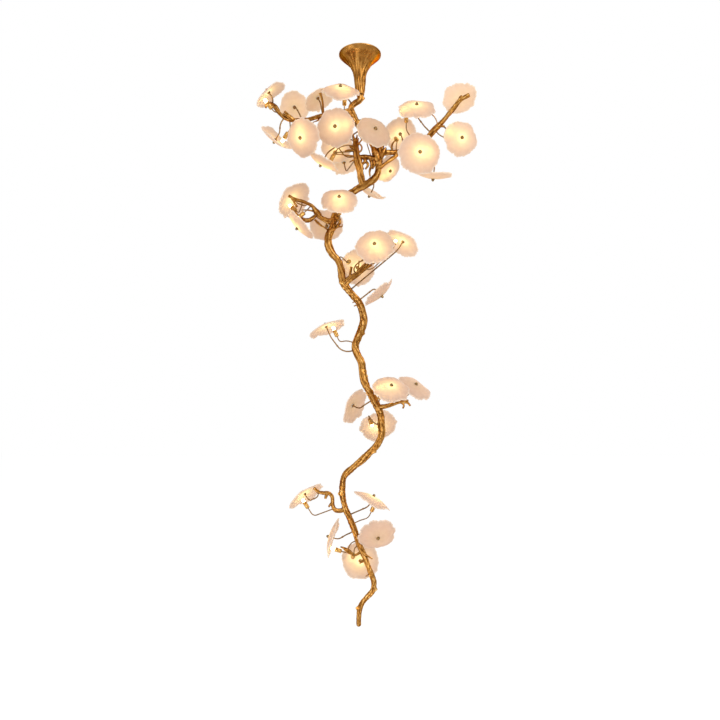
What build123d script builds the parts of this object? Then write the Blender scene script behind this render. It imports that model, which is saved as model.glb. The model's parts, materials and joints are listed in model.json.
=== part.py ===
"""Cluster chandelier: a cast brass branch hung with domed glass flowers and small lamps.

Millimetres, Z up.  The ceiling face is z = 0 and the trunk hangs below it.  Every flower turns
on its own post, everything else is one rigid frame.
"""

import math
import os

from build123d import *

os.makedirs("parts", exist_ok=True)

# Ceiling fixing
CANOPY_RADIUS = 84.0
CANOPY_RIM = 5.0
CANOPY_DROP = 162.0
CANOPY_WALL = 5.0
CANOPY_RIBS = 11
CANOPY_RIB_HEIGHT = 0.05
# Depth below the ceiling and outside radius of the trumpet
CANOPY_FLARE = [(4.0, 79.0), (14.0, 73.0), (26.0, 59.0), (40.0, 46.0), (54.0, 36.0), (68.0, 28.0)]
CANOPY_NECK = [(88.0, 22.5), (115.0, 18.5), (140.0, 16.5), (CANOPY_DROP, 15.5)]
CAVITY_DEPTH = 54.0
NIPPLE_RADIUS = 5.0
NIPPLE_BORE = 3.2
NIPPLE_TOP = 8.0
NIPPLE_GRIP = 14.0
BRACKET_LENGTH = 140.0
BRACKET_WIDTH = 24.0
BRACKET_SHEET = 3.0
BRACKET_BRIDGE = 56.0
BRACKET_DEPTH = 22.0
SCREW_SPACING = 120.0
SCREW_RADIUS = 2.75
NUT_FLATS = 17.0
NUT_HEIGHT = 8.0
NUT_SIDES = 6
BLOCK_SIZE = (20.0, 18.0, 11.0)
BLOCK_WIRE_RADIUS = 2.0
BLOCK_WAYS = 3
BLOCK_GAP = 1.0

# Fits
FIT = 0.1
SEAT_GAP = 0.5
TURN_CLEARANCE = 0.6

# Trunk: centre line from the canopy to the tip, and its radius along the way
TRUNK_TOP = [
    (0, 0, -162), (0, 0, -180), (-20, 0, -195), (-35, 0, -210), (-35, 5, -225), (-25, 10, -245),
    (-10, 15, -270), (20, 20, -305), (45, 20, -340), (65, 20, -380), (75, 10, -420), (75, 10, -450),
    (65, 5, -485), (40, 0, -510), (15, 0, -525), (-15, 5, -540), (-45, 10, -560), (-75, 10, -585),
    (-90, 10, -620),
]
TRUNK_MIDDLE = [
    (-90, 10, -620), (-105, 10, -650), (-110, 0, -690), (-125, -15, -730), (-125, -25, -765),
    (-110, -25, -800), (-85, -20, -830), (-75, -10, -865), (-70, 0, -900), (-55, 10, -930),
    (-30, 10, -960), (-5, 15, -990), (10, 25, -1030), (15, 30, -1065), (5, 30, -1100),
    (-10, 30, -1135), (-20, 30, -1165), (-10, 25, -1200), (5, 20, -1230), (10, 20, -1265),
    (15, 10, -1295), (25, 0, -1325), (45, -10, -1360), (65, -20, -1400), (80, -25, -1435),
]
TRUNK_FOOT = [
    (80, -25, -1435), (85, -30, -1475), (85, -25, -1515), (70, -20, -1555), (40, -10, -1590),
    (5, 0, -1625), (-30, 5, -1655), (-60, 10, -1685), (-70, 20, -1725), (-70, 25, -1770),
    (-60, 25, -1820), (-40, 25, -1865), (-20, 20, -1915), (-5, 10, -1960), (15, 0, -2000),
    (30, -15, -2035), (45, -25, -2070), (55, -25, -2105), (50, -25, -2135), (30, -20, -2160),
    (10, -15, -2185), (0, -10, -2210), (-5, -5, -2250), (-5, 5, -2285),
]
TRUNK_RADII = {"trunk_top": (12.0, 14.0), "trunk_middle": (14.0, 14.0), "trunk_foot": (14.0, 9.5)}

# Side branches: the trunk length each grows from, root and tip radius, centre line from the trunk's own
BRANCHES = {
    "crown_stub_branch": ("trunk_top", 10.0, 8.0, [
        (10, 0, -530), (0, -5, -495), (-5, -10, -465), (-15, -10, -430), (-20, -10, -390),
        (-20, -10, -345),
    ]),
    "crown_left_branch": ("trunk_top", 9.0, 6.5, [
        (-35, 5, -220), (-70, 20, -220), (-115, 40, -220), (-165, 40, -230), (-210, 35, -245),
        (-255, 20, -255), (-290, 10, -255), (-320, 5, -235), (-340, 0, -205), (-360, 0, -195),
    ]),
    "crown_right_branch": ("trunk_top", 10.5, 8.0, [
        (70, 15, -395), (105, 20, -385), (145, 30, -380), (195, 30, -375), (240, 25, -355),
        (280, 20, -320), (315, 10, -285), (345, 5, -250), (375, 0, -215), (400, -5, -185),
        (435, -5, -165),
    ]),
    "fork_branch": ("trunk_middle", 8.0, 6.0, [
        (-105, 5, -665), (-135, 0, -660), (-165, -10, -645), (-185, -15, -615), (-220, -15, -595),
        (-250, -10, -585),
    ]),
    "arm_branch": ("trunk_middle", 10.0, 8.0, [
        (-65, 5, -915), (-40, -5, -895), (-10, -10, -875), (15, -10, -850), (45, -15, -830),
    ]),
    "spur_branch": ("trunk_middle", 10.0, 7.5, [
        (70, -20, -1410), (100, -30, -1405), (130, -35, -1395), (155, -40, -1385), (190, -40, -1385),
    ]),
    "hook_branch": ("trunk_foot", 9.0, 6.5, [
        (-60, 25, -1825), (-80, 20, -1830), (-100, 15, -1825), (-110, 15, -1805), (-110, 10, -1785),
        (-115, 10, -1765), (-130, 5, -1755), (-150, 5, -1755), (-170, 10, -1750), (-185, 10, -1735),
    ]),
}

# Bark of trunk and branches
RIDGES = 3
RIDGE_HEIGHT = 0.10
RIDGE_TWIST = 0.55
SWELL = 0.08
SWELL_PACE = 2.2
OUTLINE_POINTS = 12
KNOT_RADIUS = 6.0
KNOT_TIP = 4.0
KNOT_HEIGHT = 8.0
# Knots: trunk length, share of its length, direction they stand out in
KNOTS = [
    ("trunk_top", 0.03, (1, 0, 0.2)),
    ("trunk_top", 0.41, (0.5, -0.8, 0.3)),
    ("trunk_middle", 0.36, (-1, -0.4, 0.1)),
    ("trunk_middle", 0.615, (1, -0.2, 0.1)),
    ("trunk_foot", 0.17, (1, -0.3, -0.2)),
    ("trunk_foot", 0.41, (-1, -0.2, 0.3)),
    ("trunk_foot", 0.82, (1, -0.2, 0.2)),
    ("trunk_foot", 0.92, (-1, -0.2, 0.1)),
]

# Joints of the trunk
DOWEL_RADIUS = 4.0
DOWEL_LENGTH = 30.0
SPIGOT_RADIUS = 4.5
SPIGOT_LENGTH = 8.0
SEAT_SHARE = 0.75
SEAT_SPREAD = 1.22

# Flowers and their posts
GLASS = 5.0
GLASS_RIM = 3.5
DOME = 20.0
PAD_RADIUS = 9.5
POST_RADIUS = 3.0
POST_RISE = 7.0
COLLAR_RADIUS = 7.0
COLLAR_HEIGHT = 3.0
WASHER_RADIUS = 8.0
WASHER_HEIGHT = 2.0
CAP_RADIUS = 7.5
CAP_FLANGE = 2.0
CAP_HEIGHT = 10.0
CAP_SHOULDER = 5.6
CAP_TIP = 1.5
STEM_RADIUS = 2.4
# Where the dome passes between pad and rim: share of the radius and of the dome's height
DOME_MIDDLE = (0.55, 0.28)
# Lobes of the rim: how many, how uneven, and how deep the notches between them are
LOBES = 9
LOBE_CHOICES = 3
LOBE_SWELL = 0.03
LOBE_PACE = 2.6
LOBE_SHIFT = 9.0
LOBE_SHIFT_PACE = 2.1
NOTCH = 0.08
NOTCH_SPREAD = 0.5
NOTCH_PACE = 1.7

# Lamps
ARM_RADIUS = 2.2
ARM_BORE = 1.2
HOLDER_RADIUS = 8.5
HOLDER_WALL = 1.2
HOLDER_FLOOR = 3.0
HOLDER_LENGTH = 29.0
SOCKET_LENGTH = 20.0
PIN_RADIUS = 0.5
PIN_SPACING = 4.0
PIN_LENGTH = 6.0
BULB_RADIUS = 6.0
BULB_LENGTH = 24.0
BULB_BASE_RADIUS = 4.0
BULB_BASE = 5.0
BULB_CLEARANCE = 8.0

# How stems and lamp arms leave a branch and meet their post or lampholder
LEAD_SHARE = 0.28
TAIL_SHARE = 0.30
LEAD_LIMITS = (10.0, 45.0)
TAIL_LIMITS = (14.0, 45.0)
BEND_SHARE = 0.45
BEND_LIMIT = 60.0
LEAD_BEND = 2.0
BURIED_SHARE = 1.25
STRAIGHT_TURN = 4.0
DRILL_REACH = 30.0

# Flowers: point of the glass on its post, way it faces, diameter, branch and share where the stem
# leaves it, lamp behind the glass (angle round the post, offset, branch, share) or None
FLOWERS = [
    ((-365, -30, -160), (-0.60, -0.10, 0.75), 145, ("crown_left_branch", 0.97),
     (-95, 30, "crown_left_branch", 0.86)),
    ((-275, 105, -165), (-0.20, 0.95, 0.30), 130, ("crown_left_branch", 0.58), None),
    ((-175, 40, -150), (-0.45, 0.20, 0.85), 135, ("crown_left_branch", 0.34), None),
    ((-75, -95, -175), (0.05, -0.70, 0.70), 155, ("trunk_top", 0.10), (-50, 26, "trunk_top", 0.18)),
    ((-95, -115, -335), (-0.10, -1.00, -0.10), 155, ("trunk_top", 0.22),
     (10, 38, "crown_stub_branch", 0.97)),
    ((-225, -130, -385), (-0.50, -0.80, -0.35), 150, ("crown_left_branch", 0.64),
     (90, 26, "crown_left_branch", 0.53)),
    ((-345, 20, -340), (-0.60, 0.40, -0.70), 155, ("crown_left_branch", 0.78),
     (-120, 26, "crown_left_branch", 0.72)),
    ((-155, -25, -450), (-0.50, 0.10, -0.85), 150, ("trunk_top", 0.27),
     (-105, 26, "crown_stub_branch", 0.87)),
    ((-70, 160, -370), (-0.20, 0.30, 0.95), 135, ("crown_stub_branch", 0.60), None),
    ((-95, 60, -345), (-0.10, 0.95, 0.35), 135, ("crown_stub_branch", 0.66),
     (-70, 26, "crown_stub_branch", 0.76)),
    ((60, -55, -320), (0.35, -0.85, 0.40), 155, ("trunk_top", 0.37), None),
    ((165, 80, -285), (-0.10, 0.85, 0.50), 140, ("crown_right_branch", 0.25),
     (-35, 26, "crown_right_branch", 0.18)),
    ((220, -190, -460), (0.10, -1.00, 0.00), 165, ("crown_right_branch", 0.29),
     (10, 26, "crown_right_branch", 0.32)),
    ((225, -20, -210), (-0.05, -0.80, 0.65), 155, ("crown_right_branch", 0.54),
     (-165, 42, "crown_right_branch", 0.36)),
    ((410, 55, -160), (0.30, 0.90, -0.20), 150, ("crown_right_branch", 0.96), None),
    ((400, -45, -350), (0.20, -1.00, -0.10), 145, ("crown_right_branch", 0.65),
     (155, 42, "crown_right_branch", 0.58)),
    ((285, -55, -515), (-0.10, 0.20, -0.95), 150, ("crown_right_branch", 0.40), None),
    ((125, 90, -435), (0.45, -0.60, -0.65), 120, ("trunk_top", 0.44), (-115, 26, "trunk_top", 0.34)),
    ((40, 100, -535), (-0.45, 0.35, -0.80), 135, ("trunk_top", 0.66), None),
    ((-280, 50, -560), (-0.65, 0.40, 0.65), 170, ("fork_branch", 0.77), (-70, 26, "fork_branch", 0.88)),
    ((-80, -85, -595), (0.00, -0.80, 0.60), 155, ("trunk_top", 0.95), (-90, 26, "trunk_middle", 0.07)),
    ((-245, -45, -705), (-0.70, -0.15, -0.70), 140, ("fork_branch", 0.42),
     (90, 26, "fork_branch", 0.65)),
    ((-135, 65, -675), (0.10, 0.95, -0.20), 150, ("fork_branch", 0.14), None),
    ((55, -110, -780), (-0.10, -0.90, 0.40), 160, ("arm_branch", 0.45), (-60, 26, "arm_branch", 0.95)),
    ((175, -5, -745), (0.50, 0.35, 0.80), 160, ("trunk_middle", 0.40), (60, 26, "arm_branch", 0.73)),
    ((-10, 40, -845), (0.10, 0.95, 0.30), 155, ("arm_branch", 0.59), (45, 42, "trunk_middle", 0.25)),
    ((85, -40, -970), (0.65, -0.10, -0.75), 155, ("trunk_middle", 0.46), None),
    ((-140, 35, -1080), (-0.40, 0.20, 0.90), 165, ("trunk_middle", 0.69),
     (135, 26, "trunk_middle", 0.66)),
    ((120, -100, -1320), (0.10, -0.60, 0.80), 155, ("spur_branch", 0.67),
     (-180, 38, "trunk_middle", 0.95)),
    ((225, 10, -1320), (0.40, -0.45, 0.80), 155, ("spur_branch", 0.91), None),
    ((-35, 45, -1405), (-0.80, 0.50, 0.35), 160, ("trunk_middle", 0.93), None),
    ((80, 80, -1505), (0.25, 0.65, -0.70), 165, ("trunk_foot", 0.07), (-5, 26, "trunk_foot", 0.05)),
    ((-235, 100, -1775), (-0.55, 0.40, 0.70), 170, ("hook_branch", 0.88),
     (-90, 26, "hook_branch", 0.26)),
    ((55, 30, -1775), (0.45, 0.05, 0.90), 170, ("trunk_foot", 0.50), (-60, 26, "trunk_foot", 0.54)),
    ((-125, 5, -1930), (-0.95, 0.10, 0.25), 165, ("trunk_foot", 0.57), (-90, 42, "trunk_foot", 0.61)),
    ((70, -60, -1915), (0.20, -0.85, -0.45), 160, ("trunk_foot", 0.59), None),
    ((0, 50, -2045), (-0.10, 0.85, -0.50), 160, ("trunk_foot", 0.69), (20, 34, "trunk_foot", 0.63)),
]

# Sizes that follow from the ones above
HOLE_RADIUS = POST_RADIUS + TURN_CLEARANCE
WASHER_TOP = -GLASS - SEAT_GAP
COLLAR_TOP = WASHER_TOP - WASHER_HEIGHT
STEM_TOP = COLLAR_TOP - COLLAR_HEIGHT
HOLDER_BASE = -BULB_LENGTH - SOCKET_LENGTH - HOLDER_FLOOR
UP = Vector(0, 0, 1)
SIDE = Vector(1, 0, 0)
CANTED = 0.9


def save(solid, label):
    """Name one piece and write it out."""
    solid.label = label
    export_step(solid, f"parts/{label}.step")


def group(solids, label):
    """Write a set of like pieces as one file."""
    save(Compound(children=solids), label)


def clamp(value, limits):
    return min(max(value, limits[0]), limits[1])


# The trunk is one centre line cut into three lengths that share their end planes.
trunk_points = [Vector(*point) for point in TRUNK_TOP + TRUNK_MIDDLE[1:] + TRUNK_FOOT[1:]]
TRUNK_SPANS = {
    "trunk_top": (0, len(TRUNK_TOP)),
    "trunk_middle": (len(TRUNK_TOP) - 1, len(TRUNK_TOP) + len(TRUNK_MIDDLE) - 1),
    "trunk_foot": (len(TRUNK_TOP) + len(TRUNK_MIDDLE) - 2, len(trunk_points)),
}


def section_planes(points):
    """Planes across a centre line, each turned as little as possible from the one before."""
    planes = []
    for index, point in enumerate(points):
        before = points[max(index - 1, 0)]
        after = points[min(index + 1, len(points) - 1)]
        tangent = (after - before).normalized()
        if index == 0:
            guide = UP if abs(tangent.Z) < CANTED else SIDE
            across = guide.cross(tangent).normalized()
        else:
            last = planes[-1].z_dir
            across = across - (last + tangent) * (across.dot(tangent) / (1 + last.dot(tangent)))
        planes.append(Plane(origin=point, x_dir=across, z_dir=tangent))
    return planes


def nearest_share(points, target):
    """Share of a centre line's length at which it passes closest to a point."""
    lengths = [0.0]
    for first, second in zip(points, points[1:]):
        lengths.append(lengths[-1] + (second - first).length)
    best = (math.inf, 0.0)
    for index, (first, second) in enumerate(zip(points, points[1:])):
        run = second - first
        along = clamp((target - first).dot(run) / run.dot(run), (0.0, 1.0))
        gap = (first + run * along - target).length
        best = min(best, (gap, (lengths[index] + along * run.length) / lengths[-1]))
    return best[1]


trunk_planes = section_planes(trunk_points)
limb_points = {}
limb_radii = {}
for name, (first, last) in TRUNK_SPANS.items():
    limb_points[name] = trunk_points[first:last]
    limb_radii[name] = TRUNK_RADII[name]
for name, (parent, root, tip, route) in BRANCHES.items():
    limb_points[name] = [Vector(*point) for point in route]
    limb_radii[name] = (root, tip)


def station(limb, share):
    """Centre point, direction and radius of a limb at a share of its length."""
    points = limb_points[limb]
    runs = [(second - first).length for first, second in zip(points, points[1:])]
    left = share * sum(runs)
    index = 0
    while left > runs[index] and index < len(runs) - 1:
        left -= runs[index]
        index += 1
    direction = (points[index + 1] - points[index]).normalized()
    root, tip = limb_radii[limb]
    return points[index] + direction * left, direction, root + (tip - root) * share


def flower_frame(seat, facing):
    """Plane with its origin on the glass and Z along the post."""
    axis = Vector(*facing).normalized()
    guide = UP if abs(axis.Z) < CANTED else SIDE
    return Plane(origin=Vector(*seat), x_dir=guide.cross(axis), z_dir=axis)


def buried_length(limb, share):
    """Length of a rod's first stretch that stays straight, inside its limb."""
    return station(limb, share)[2] * BURIED_SHARE


def rod_route(limb, share, end, heading):
    """Corner points of a rod that leaves a limb square to it and ends along its heading."""
    start, direction, radius = station(limb, share)
    reach = (end - start).length
    shoulder = end - heading * clamp(TAIL_SHARE * reach, TAIL_LIMITS)
    across = shoulder - start
    outward = (across - direction * across.dot(direction)).normalized()
    lead = radius + clamp(LEAD_SHARE * reach, LEAD_LIMITS)
    return [start, start + outward * lead, shoulder, end]


def bend_radii(corners, buried):
    """Largest bend that fits at each corner of a rod whose first stretch is buried in its limb."""
    radii = []
    runs = [(second - first).length for first, second in zip(corners, corners[1:])]
    runs[0] = (runs[0] - buried) * LEAD_BEND
    for index in range(1, len(corners) - 1):
        before, corner, after = corners[index - 1:index + 2]
        turn = math.radians((corner - before).get_angle(after - corner))
        room = BEND_SHARE * min(runs[index - 1], runs[index])
        radii.append(min(BEND_LIMIT, room / math.tan(turn / 2)))
    return radii


def bent_corners(corners):
    """Corner points without those that hardly turn."""
    kept = [corners[0]]
    for corner, after in zip(corners[1:], corners[2:]):
        if (corner - kept[-1]).get_angle(after - corner) > STRAIGHT_TURN:
            kept.append(corner)
    return kept + [corners[-1]]


# Flower places, stem routes and lamp places
flower_planes = []
stem_routes = []
lamp_planes = []
arm_routes = []
drillings = {name: {"stem": [], "arm": []} for name in limb_points}
for seat, facing, size, (limb, share), lamp in FLOWERS:
    plane = flower_frame(seat, facing)
    flower_planes.append(plane)
    route = rod_route(limb, share, plane.origin + plane.z_dir * STEM_TOP, plane.z_dir)
    stem_routes.append((route, buried_length(limb, share)))
    drillings[limb]["stem"].append(bent_corners(route))
    if lamp is not None:
        angle, offset, lamp_limb, lamp_share = lamp
        sag = DOME * (2 * offset / size) ** 2
        swing = math.radians(angle)
        place = (offset * math.cos(swing), offset * math.sin(swing), -GLASS - sag - BULB_CLEARANCE)
        tip = plane.from_local_coords(Vector(*place))
        lamp_planes.append(Plane(origin=tip, x_dir=plane.x_dir, z_dir=plane.z_dir))
        route = rod_route(lamp_limb, lamp_share, tip + plane.z_dir * HOLDER_BASE, plane.z_dir)
        arm_routes.append((route, buried_length(lamp_limb, lamp_share)))
        drillings[lamp_limb]["arm"].append(bent_corners(route))


# Ceiling bracket: a hat-shaped strap, its feet against the ceiling
with BuildPart() as ceiling_bracket:
    with BuildSketch(Plane.XZ):
        with BuildLine():
            Polyline(
                (-BRACKET_LENGTH / 2, 0),
                (-BRACKET_BRIDGE / 2 + BRACKET_SHEET, 0),
                (-BRACKET_BRIDGE / 2 + BRACKET_SHEET, -BRACKET_DEPTH + BRACKET_SHEET),
                (BRACKET_BRIDGE / 2 - BRACKET_SHEET, -BRACKET_DEPTH + BRACKET_SHEET),
                (BRACKET_BRIDGE / 2 - BRACKET_SHEET, 0),
                (BRACKET_LENGTH / 2, 0),
                (BRACKET_LENGTH / 2, -BRACKET_SHEET),
                (BRACKET_BRIDGE / 2, -BRACKET_SHEET),
                (BRACKET_BRIDGE / 2, -BRACKET_DEPTH),
                (-BRACKET_BRIDGE / 2, -BRACKET_DEPTH),
                (-BRACKET_BRIDGE / 2, -BRACKET_SHEET),
                (-BRACKET_LENGTH / 2, -BRACKET_SHEET),
                close=True,
            )
        make_face()
    extrude(amount=BRACKET_WIDTH / 2, both=True)
    with Locations((-SCREW_SPACING / 2, 0), (SCREW_SPACING / 2, 0)):
        Cylinder(SCREW_RADIUS, 4 * BRACKET_SHEET, mode=Mode.SUBTRACT)
    with Locations((0, 0, -BRACKET_DEPTH)):
        Cylinder(NIPPLE_RADIUS + FIT, 4 * BRACKET_SHEET, mode=Mode.SUBTRACT)
save(ceiling_bracket.part, "ceiling_bracket")

# Terminal block under one foot of the bracket
with BuildPart() as terminal_block:
    with Locations((BRACKET_BRIDGE / 2 + BLOCK_SIZE[0] / 2 + BLOCK_GAP, 0, -BRACKET_SHEET)):
        Box(*BLOCK_SIZE, align=(Align.CENTER, Align.CENTER, Align.MAX))
    ways = terminal_block.faces().sort_by(Axis.X)[-1]
    with BuildSketch(ways):
        with GridLocations(BLOCK_SIZE[1] / BLOCK_WAYS, BLOCK_SIZE[1] / BLOCK_WAYS, BLOCK_WAYS, 1):
            Circle(BLOCK_WIRE_RADIUS)
    extrude(amount=-BLOCK_SIZE[0], mode=Mode.SUBTRACT)
save(terminal_block.part, "terminal_block")

# Hollow threaded nipple from the bracket into the trunk
with BuildPart() as hanger_nipple:
    with BuildSketch(Plane.XY.offset(-NIPPLE_TOP)):
        Circle(NIPPLE_RADIUS)
        Circle(NIPPLE_BORE, mode=Mode.SUBTRACT)
    extrude(amount=-(CANOPY_DROP + NIPPLE_GRIP - NIPPLE_TOP))
save(hanger_nipple.part, "hanger_nipple")

# Hex nuts that lock the nipple on both sides of the bracket
hanger_nuts = []
for top in (-BRACKET_DEPTH + BRACKET_SHEET + NUT_HEIGHT, -BRACKET_DEPTH):
    with BuildPart() as hanger_nut:
        with BuildSketch(Plane.XY.offset(top)):
            RegularPolygon(NUT_FLATS / 2, NUT_SIDES, major_radius=False)
            Circle(NIPPLE_RADIUS + FIT / 2, mode=Mode.SUBTRACT)
        extrude(amount=-NUT_HEIGHT)
    hanger_nuts.append(hanger_nut.part)
group(hanger_nuts, "hanger_nuts")


def ribbed_ring(radius, ribs, height, count, turn):
    """Points of a closed outline whose radius swells once per rib."""
    points = []
    for step in range(count):
        angle = 2 * math.pi * step / count
        reach = radius * (1 + height * math.cos(ribs * angle + turn))
        points.append((reach * math.cos(angle), reach * math.sin(angle)))
    return points


# Canopy: ribbed trumpet, hollow at the top, bored for the nipple
with BuildPart() as canopy:
    for depth, radius in CANOPY_FLARE + CANOPY_NECK:
        with BuildSketch(Plane.XY.offset(-depth)):
            with BuildLine():
                outline = ribbed_ring(
                    radius, CANOPY_RIBS, CANOPY_RIB_HEIGHT * depth / CANOPY_DROP, 4 * CANOPY_RIBS, 0.0
                )
                Spline(*outline, periodic=True)
            make_face()
    loft()
    Cylinder(CANOPY_RADIUS, CANOPY_RIM, align=(Align.CENTER, Align.CENTER, Align.MAX))
    with BuildSketch(Plane.XZ):
        with BuildLine():
            hollow = [(radius - CANOPY_WALL, -depth) for depth, radius in CANOPY_FLARE if depth <= CAVITY_DEPTH]
            Polyline(
                (0, 0),
                (hollow[0][0], 0),
                *hollow,
                (NIPPLE_RADIUS + TURN_CLEARANCE, -CAVITY_DEPTH - CANOPY_WALL),
                (NIPPLE_RADIUS + TURN_CLEARANCE, -CANOPY_DROP),
                (0, -CANOPY_DROP),
                close=True,
            )
        make_face()
    revolve(axis=Axis.Z, mode=Mode.SUBTRACT)
save(canopy.part, "canopy")


def branch_seat(name):
    """Plane of the flat seat that a side branch stands on, facing out along the branch."""
    parent, root, tip, route = BRANCHES[name]
    start, second = limb_points[name][:2]
    outward = (second - start).normalized()
    share = nearest_share(limb_points[parent], start)
    return Plane(origin=start + outward * station(parent, share)[2] * SEAT_SHARE, z_dir=outward)


def limb_solid(name, planes):
    """Loft one trunk length or branch, then cut its seats, sockets and drillings."""
    root, tip = limb_radii[name]
    with BuildPart() as limb:
        for index, plane in enumerate(planes):
            share = index / (len(planes) - 1)
            swell = 1 + SWELL * math.sin(SWELL_PACE * index) * math.sin(math.pi * share)
            radius = (root + (tip - root) * share) * swell
            with BuildSketch(plane):
                with BuildLine():
                    Spline(
                        *ribbed_ring(radius, RIDGES, RIDGE_HEIGHT, OUTLINE_POINTS, RIDGE_TWIST * index),
                        periodic=True,
                    )
                make_face()
        loft()
        for knot_limb, share, way in KNOTS:
            if knot_limb == name:
                point, direction, radius = station(name, share)
                height = radius + KNOT_HEIGHT
                with Locations(Plane(origin=point, z_dir=Vector(*way))):
                    Cone(KNOT_RADIUS, KNOT_TIP, height, align=(Align.CENTER, Align.CENTER, Align.MIN))
        if name in BRANCHES:
            with Locations(branch_seat(name)):
                Cylinder(SPIGOT_RADIUS, SPIGOT_LENGTH, align=(Align.CENTER, Align.CENTER, Align.MAX))
        for branch, (parent, branch_root, branch_tip, route) in BRANCHES.items():
            if parent == name:
                with Locations(branch_seat(branch)):
                    Cylinder(
                        branch_root * SEAT_SPREAD,
                        DRILL_REACH,
                        align=(Align.CENTER, Align.CENTER, Align.MIN),
                        mode=Mode.SUBTRACT,
                    )
                    Cylinder(
                        SPIGOT_RADIUS + FIT,
                        SPIGOT_LENGTH + SEAT_GAP,
                        align=(Align.CENTER, Align.CENTER, Align.MAX),
                        mode=Mode.SUBTRACT,
                    )
        for kind, radius in (("stem", STEM_RADIUS), ("arm", ARM_RADIUS)):
            for corners in drillings[name][kind]:
                start = corners[0]
                outward = (corners[1] - start).normalized()
                with Locations(Plane(origin=start - outward * SEAT_GAP, z_dir=outward)):
                    Cylinder(
                        radius + FIT,
                        DRILL_REACH,
                        align=(Align.CENTER, Align.CENTER, Align.MIN),
                        mode=Mode.SUBTRACT,
                    )
        if name in TRUNK_SPANS:
            first, last = TRUNK_SPANS[name]
            if first == 0:
                with Locations(planes[0]):
                    Cylinder(NIPPLE_RADIUS + FIT, 2 * (NIPPLE_GRIP + SEAT_GAP), mode=Mode.SUBTRACT)
            else:
                with Locations(planes[0]):
                    Cylinder(DOWEL_RADIUS + FIT, DOWEL_LENGTH + 2 * SEAT_GAP, mode=Mode.SUBTRACT)
            if last < len(trunk_points):
                with Locations(planes[-1]):
                    Cylinder(DOWEL_RADIUS + FIT, DOWEL_LENGTH + 2 * SEAT_GAP, mode=Mode.SUBTRACT)
    return limb.part


# Trunk lengths and the dowels between them
for name, (first, last) in TRUNK_SPANS.items():
    save(limb_solid(name, trunk_planes[first:last]), name)
trunk_dowels = []
for first, last in TRUNK_SPANS.values():
    if first > 0:
        with BuildPart(trunk_planes[first]) as dowel:
            Cylinder(DOWEL_RADIUS, DOWEL_LENGTH)
        trunk_dowels.append(dowel.part)
group(trunk_dowels, "trunk_dowels")

# Side branches, each from its seat on the trunk
for name in BRANCHES:
    seat_plane = branch_seat(name)
    branch_planes = section_planes([seat_plane.origin] + limb_points[name][1:])
    save(limb_solid(name, branch_planes), name)


def rod_solid(corners, buried, radius, bore):
    """Round rod or tube along a bent route."""
    kept = bent_corners(corners)
    with BuildPart() as rod:
        with BuildLine():
            if len(kept) > 2:
                FilletPolyline(*kept, radius=bend_radii(kept, buried))
            else:
                Line(*kept)
        with BuildSketch(Plane(origin=kept[0], z_dir=kept[1] - kept[0])):
            Circle(radius)
            if bore > 0:
                Circle(bore, mode=Mode.SUBTRACT)
        sweep()
    return rod


# Flower stems: bent rod, collar and post in one piece
flower_stems = []
for (route, buried), plane in zip(stem_routes, flower_planes):
    stem = rod_solid(route, buried, STEM_RADIUS, 0)
    with stem:
        with Locations(plane.offset(STEM_TOP)):
            Cylinder(COLLAR_RADIUS, COLLAR_HEIGHT, align=(Align.CENTER, Align.CENTER, Align.MIN))
            Cylinder(POST_RADIUS, POST_RISE - STEM_TOP, align=(Align.CENTER, Align.CENTER, Align.MIN))
    flower_stems.append(stem.part)
group(flower_stems, "flower_stems")

# Soft washer and cap nut, one of each per flower
with BuildPart() as washer:
    with BuildSketch(Plane.XY.offset(COLLAR_TOP)):
        Circle(WASHER_RADIUS)
        Circle(POST_RADIUS + FIT, mode=Mode.SUBTRACT)
    extrude(amount=WASHER_HEIGHT)
group([washer.part.moved(plane.location) for plane in flower_planes], "seat_washers")

with BuildPart() as cap_nut:
    with BuildSketch(Plane.XZ):
        with BuildLine():
            Polyline(
                (0, SEAT_GAP + CAP_HEIGHT),
                (0, SEAT_GAP),
                (CAP_RADIUS, SEAT_GAP),
                (CAP_RADIUS, SEAT_GAP + CAP_FLANGE),
                (CAP_SHOULDER, SEAT_GAP + CAP_FLANGE),
            )
            TangentArc(
                (CAP_SHOULDER, SEAT_GAP + CAP_FLANGE), (CAP_TIP, SEAT_GAP + CAP_HEIGHT), tangent=(0, 1)
            )
            Line((CAP_TIP, SEAT_GAP + CAP_HEIGHT), (0, SEAT_GAP + CAP_HEIGHT))
        make_face()
    revolve(axis=Axis.Z)
    with Locations((0, 0, 0)):
        Cylinder(
            POST_RADIUS + FIT / 2,
            POST_RISE + FIT,
            align=(Align.CENTER, Align.CENTER, Align.MIN),
            mode=Mode.SUBTRACT,
        )
group([cap_nut.part.moved(plane.location) for plane in flower_planes], "cap_nuts")

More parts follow.
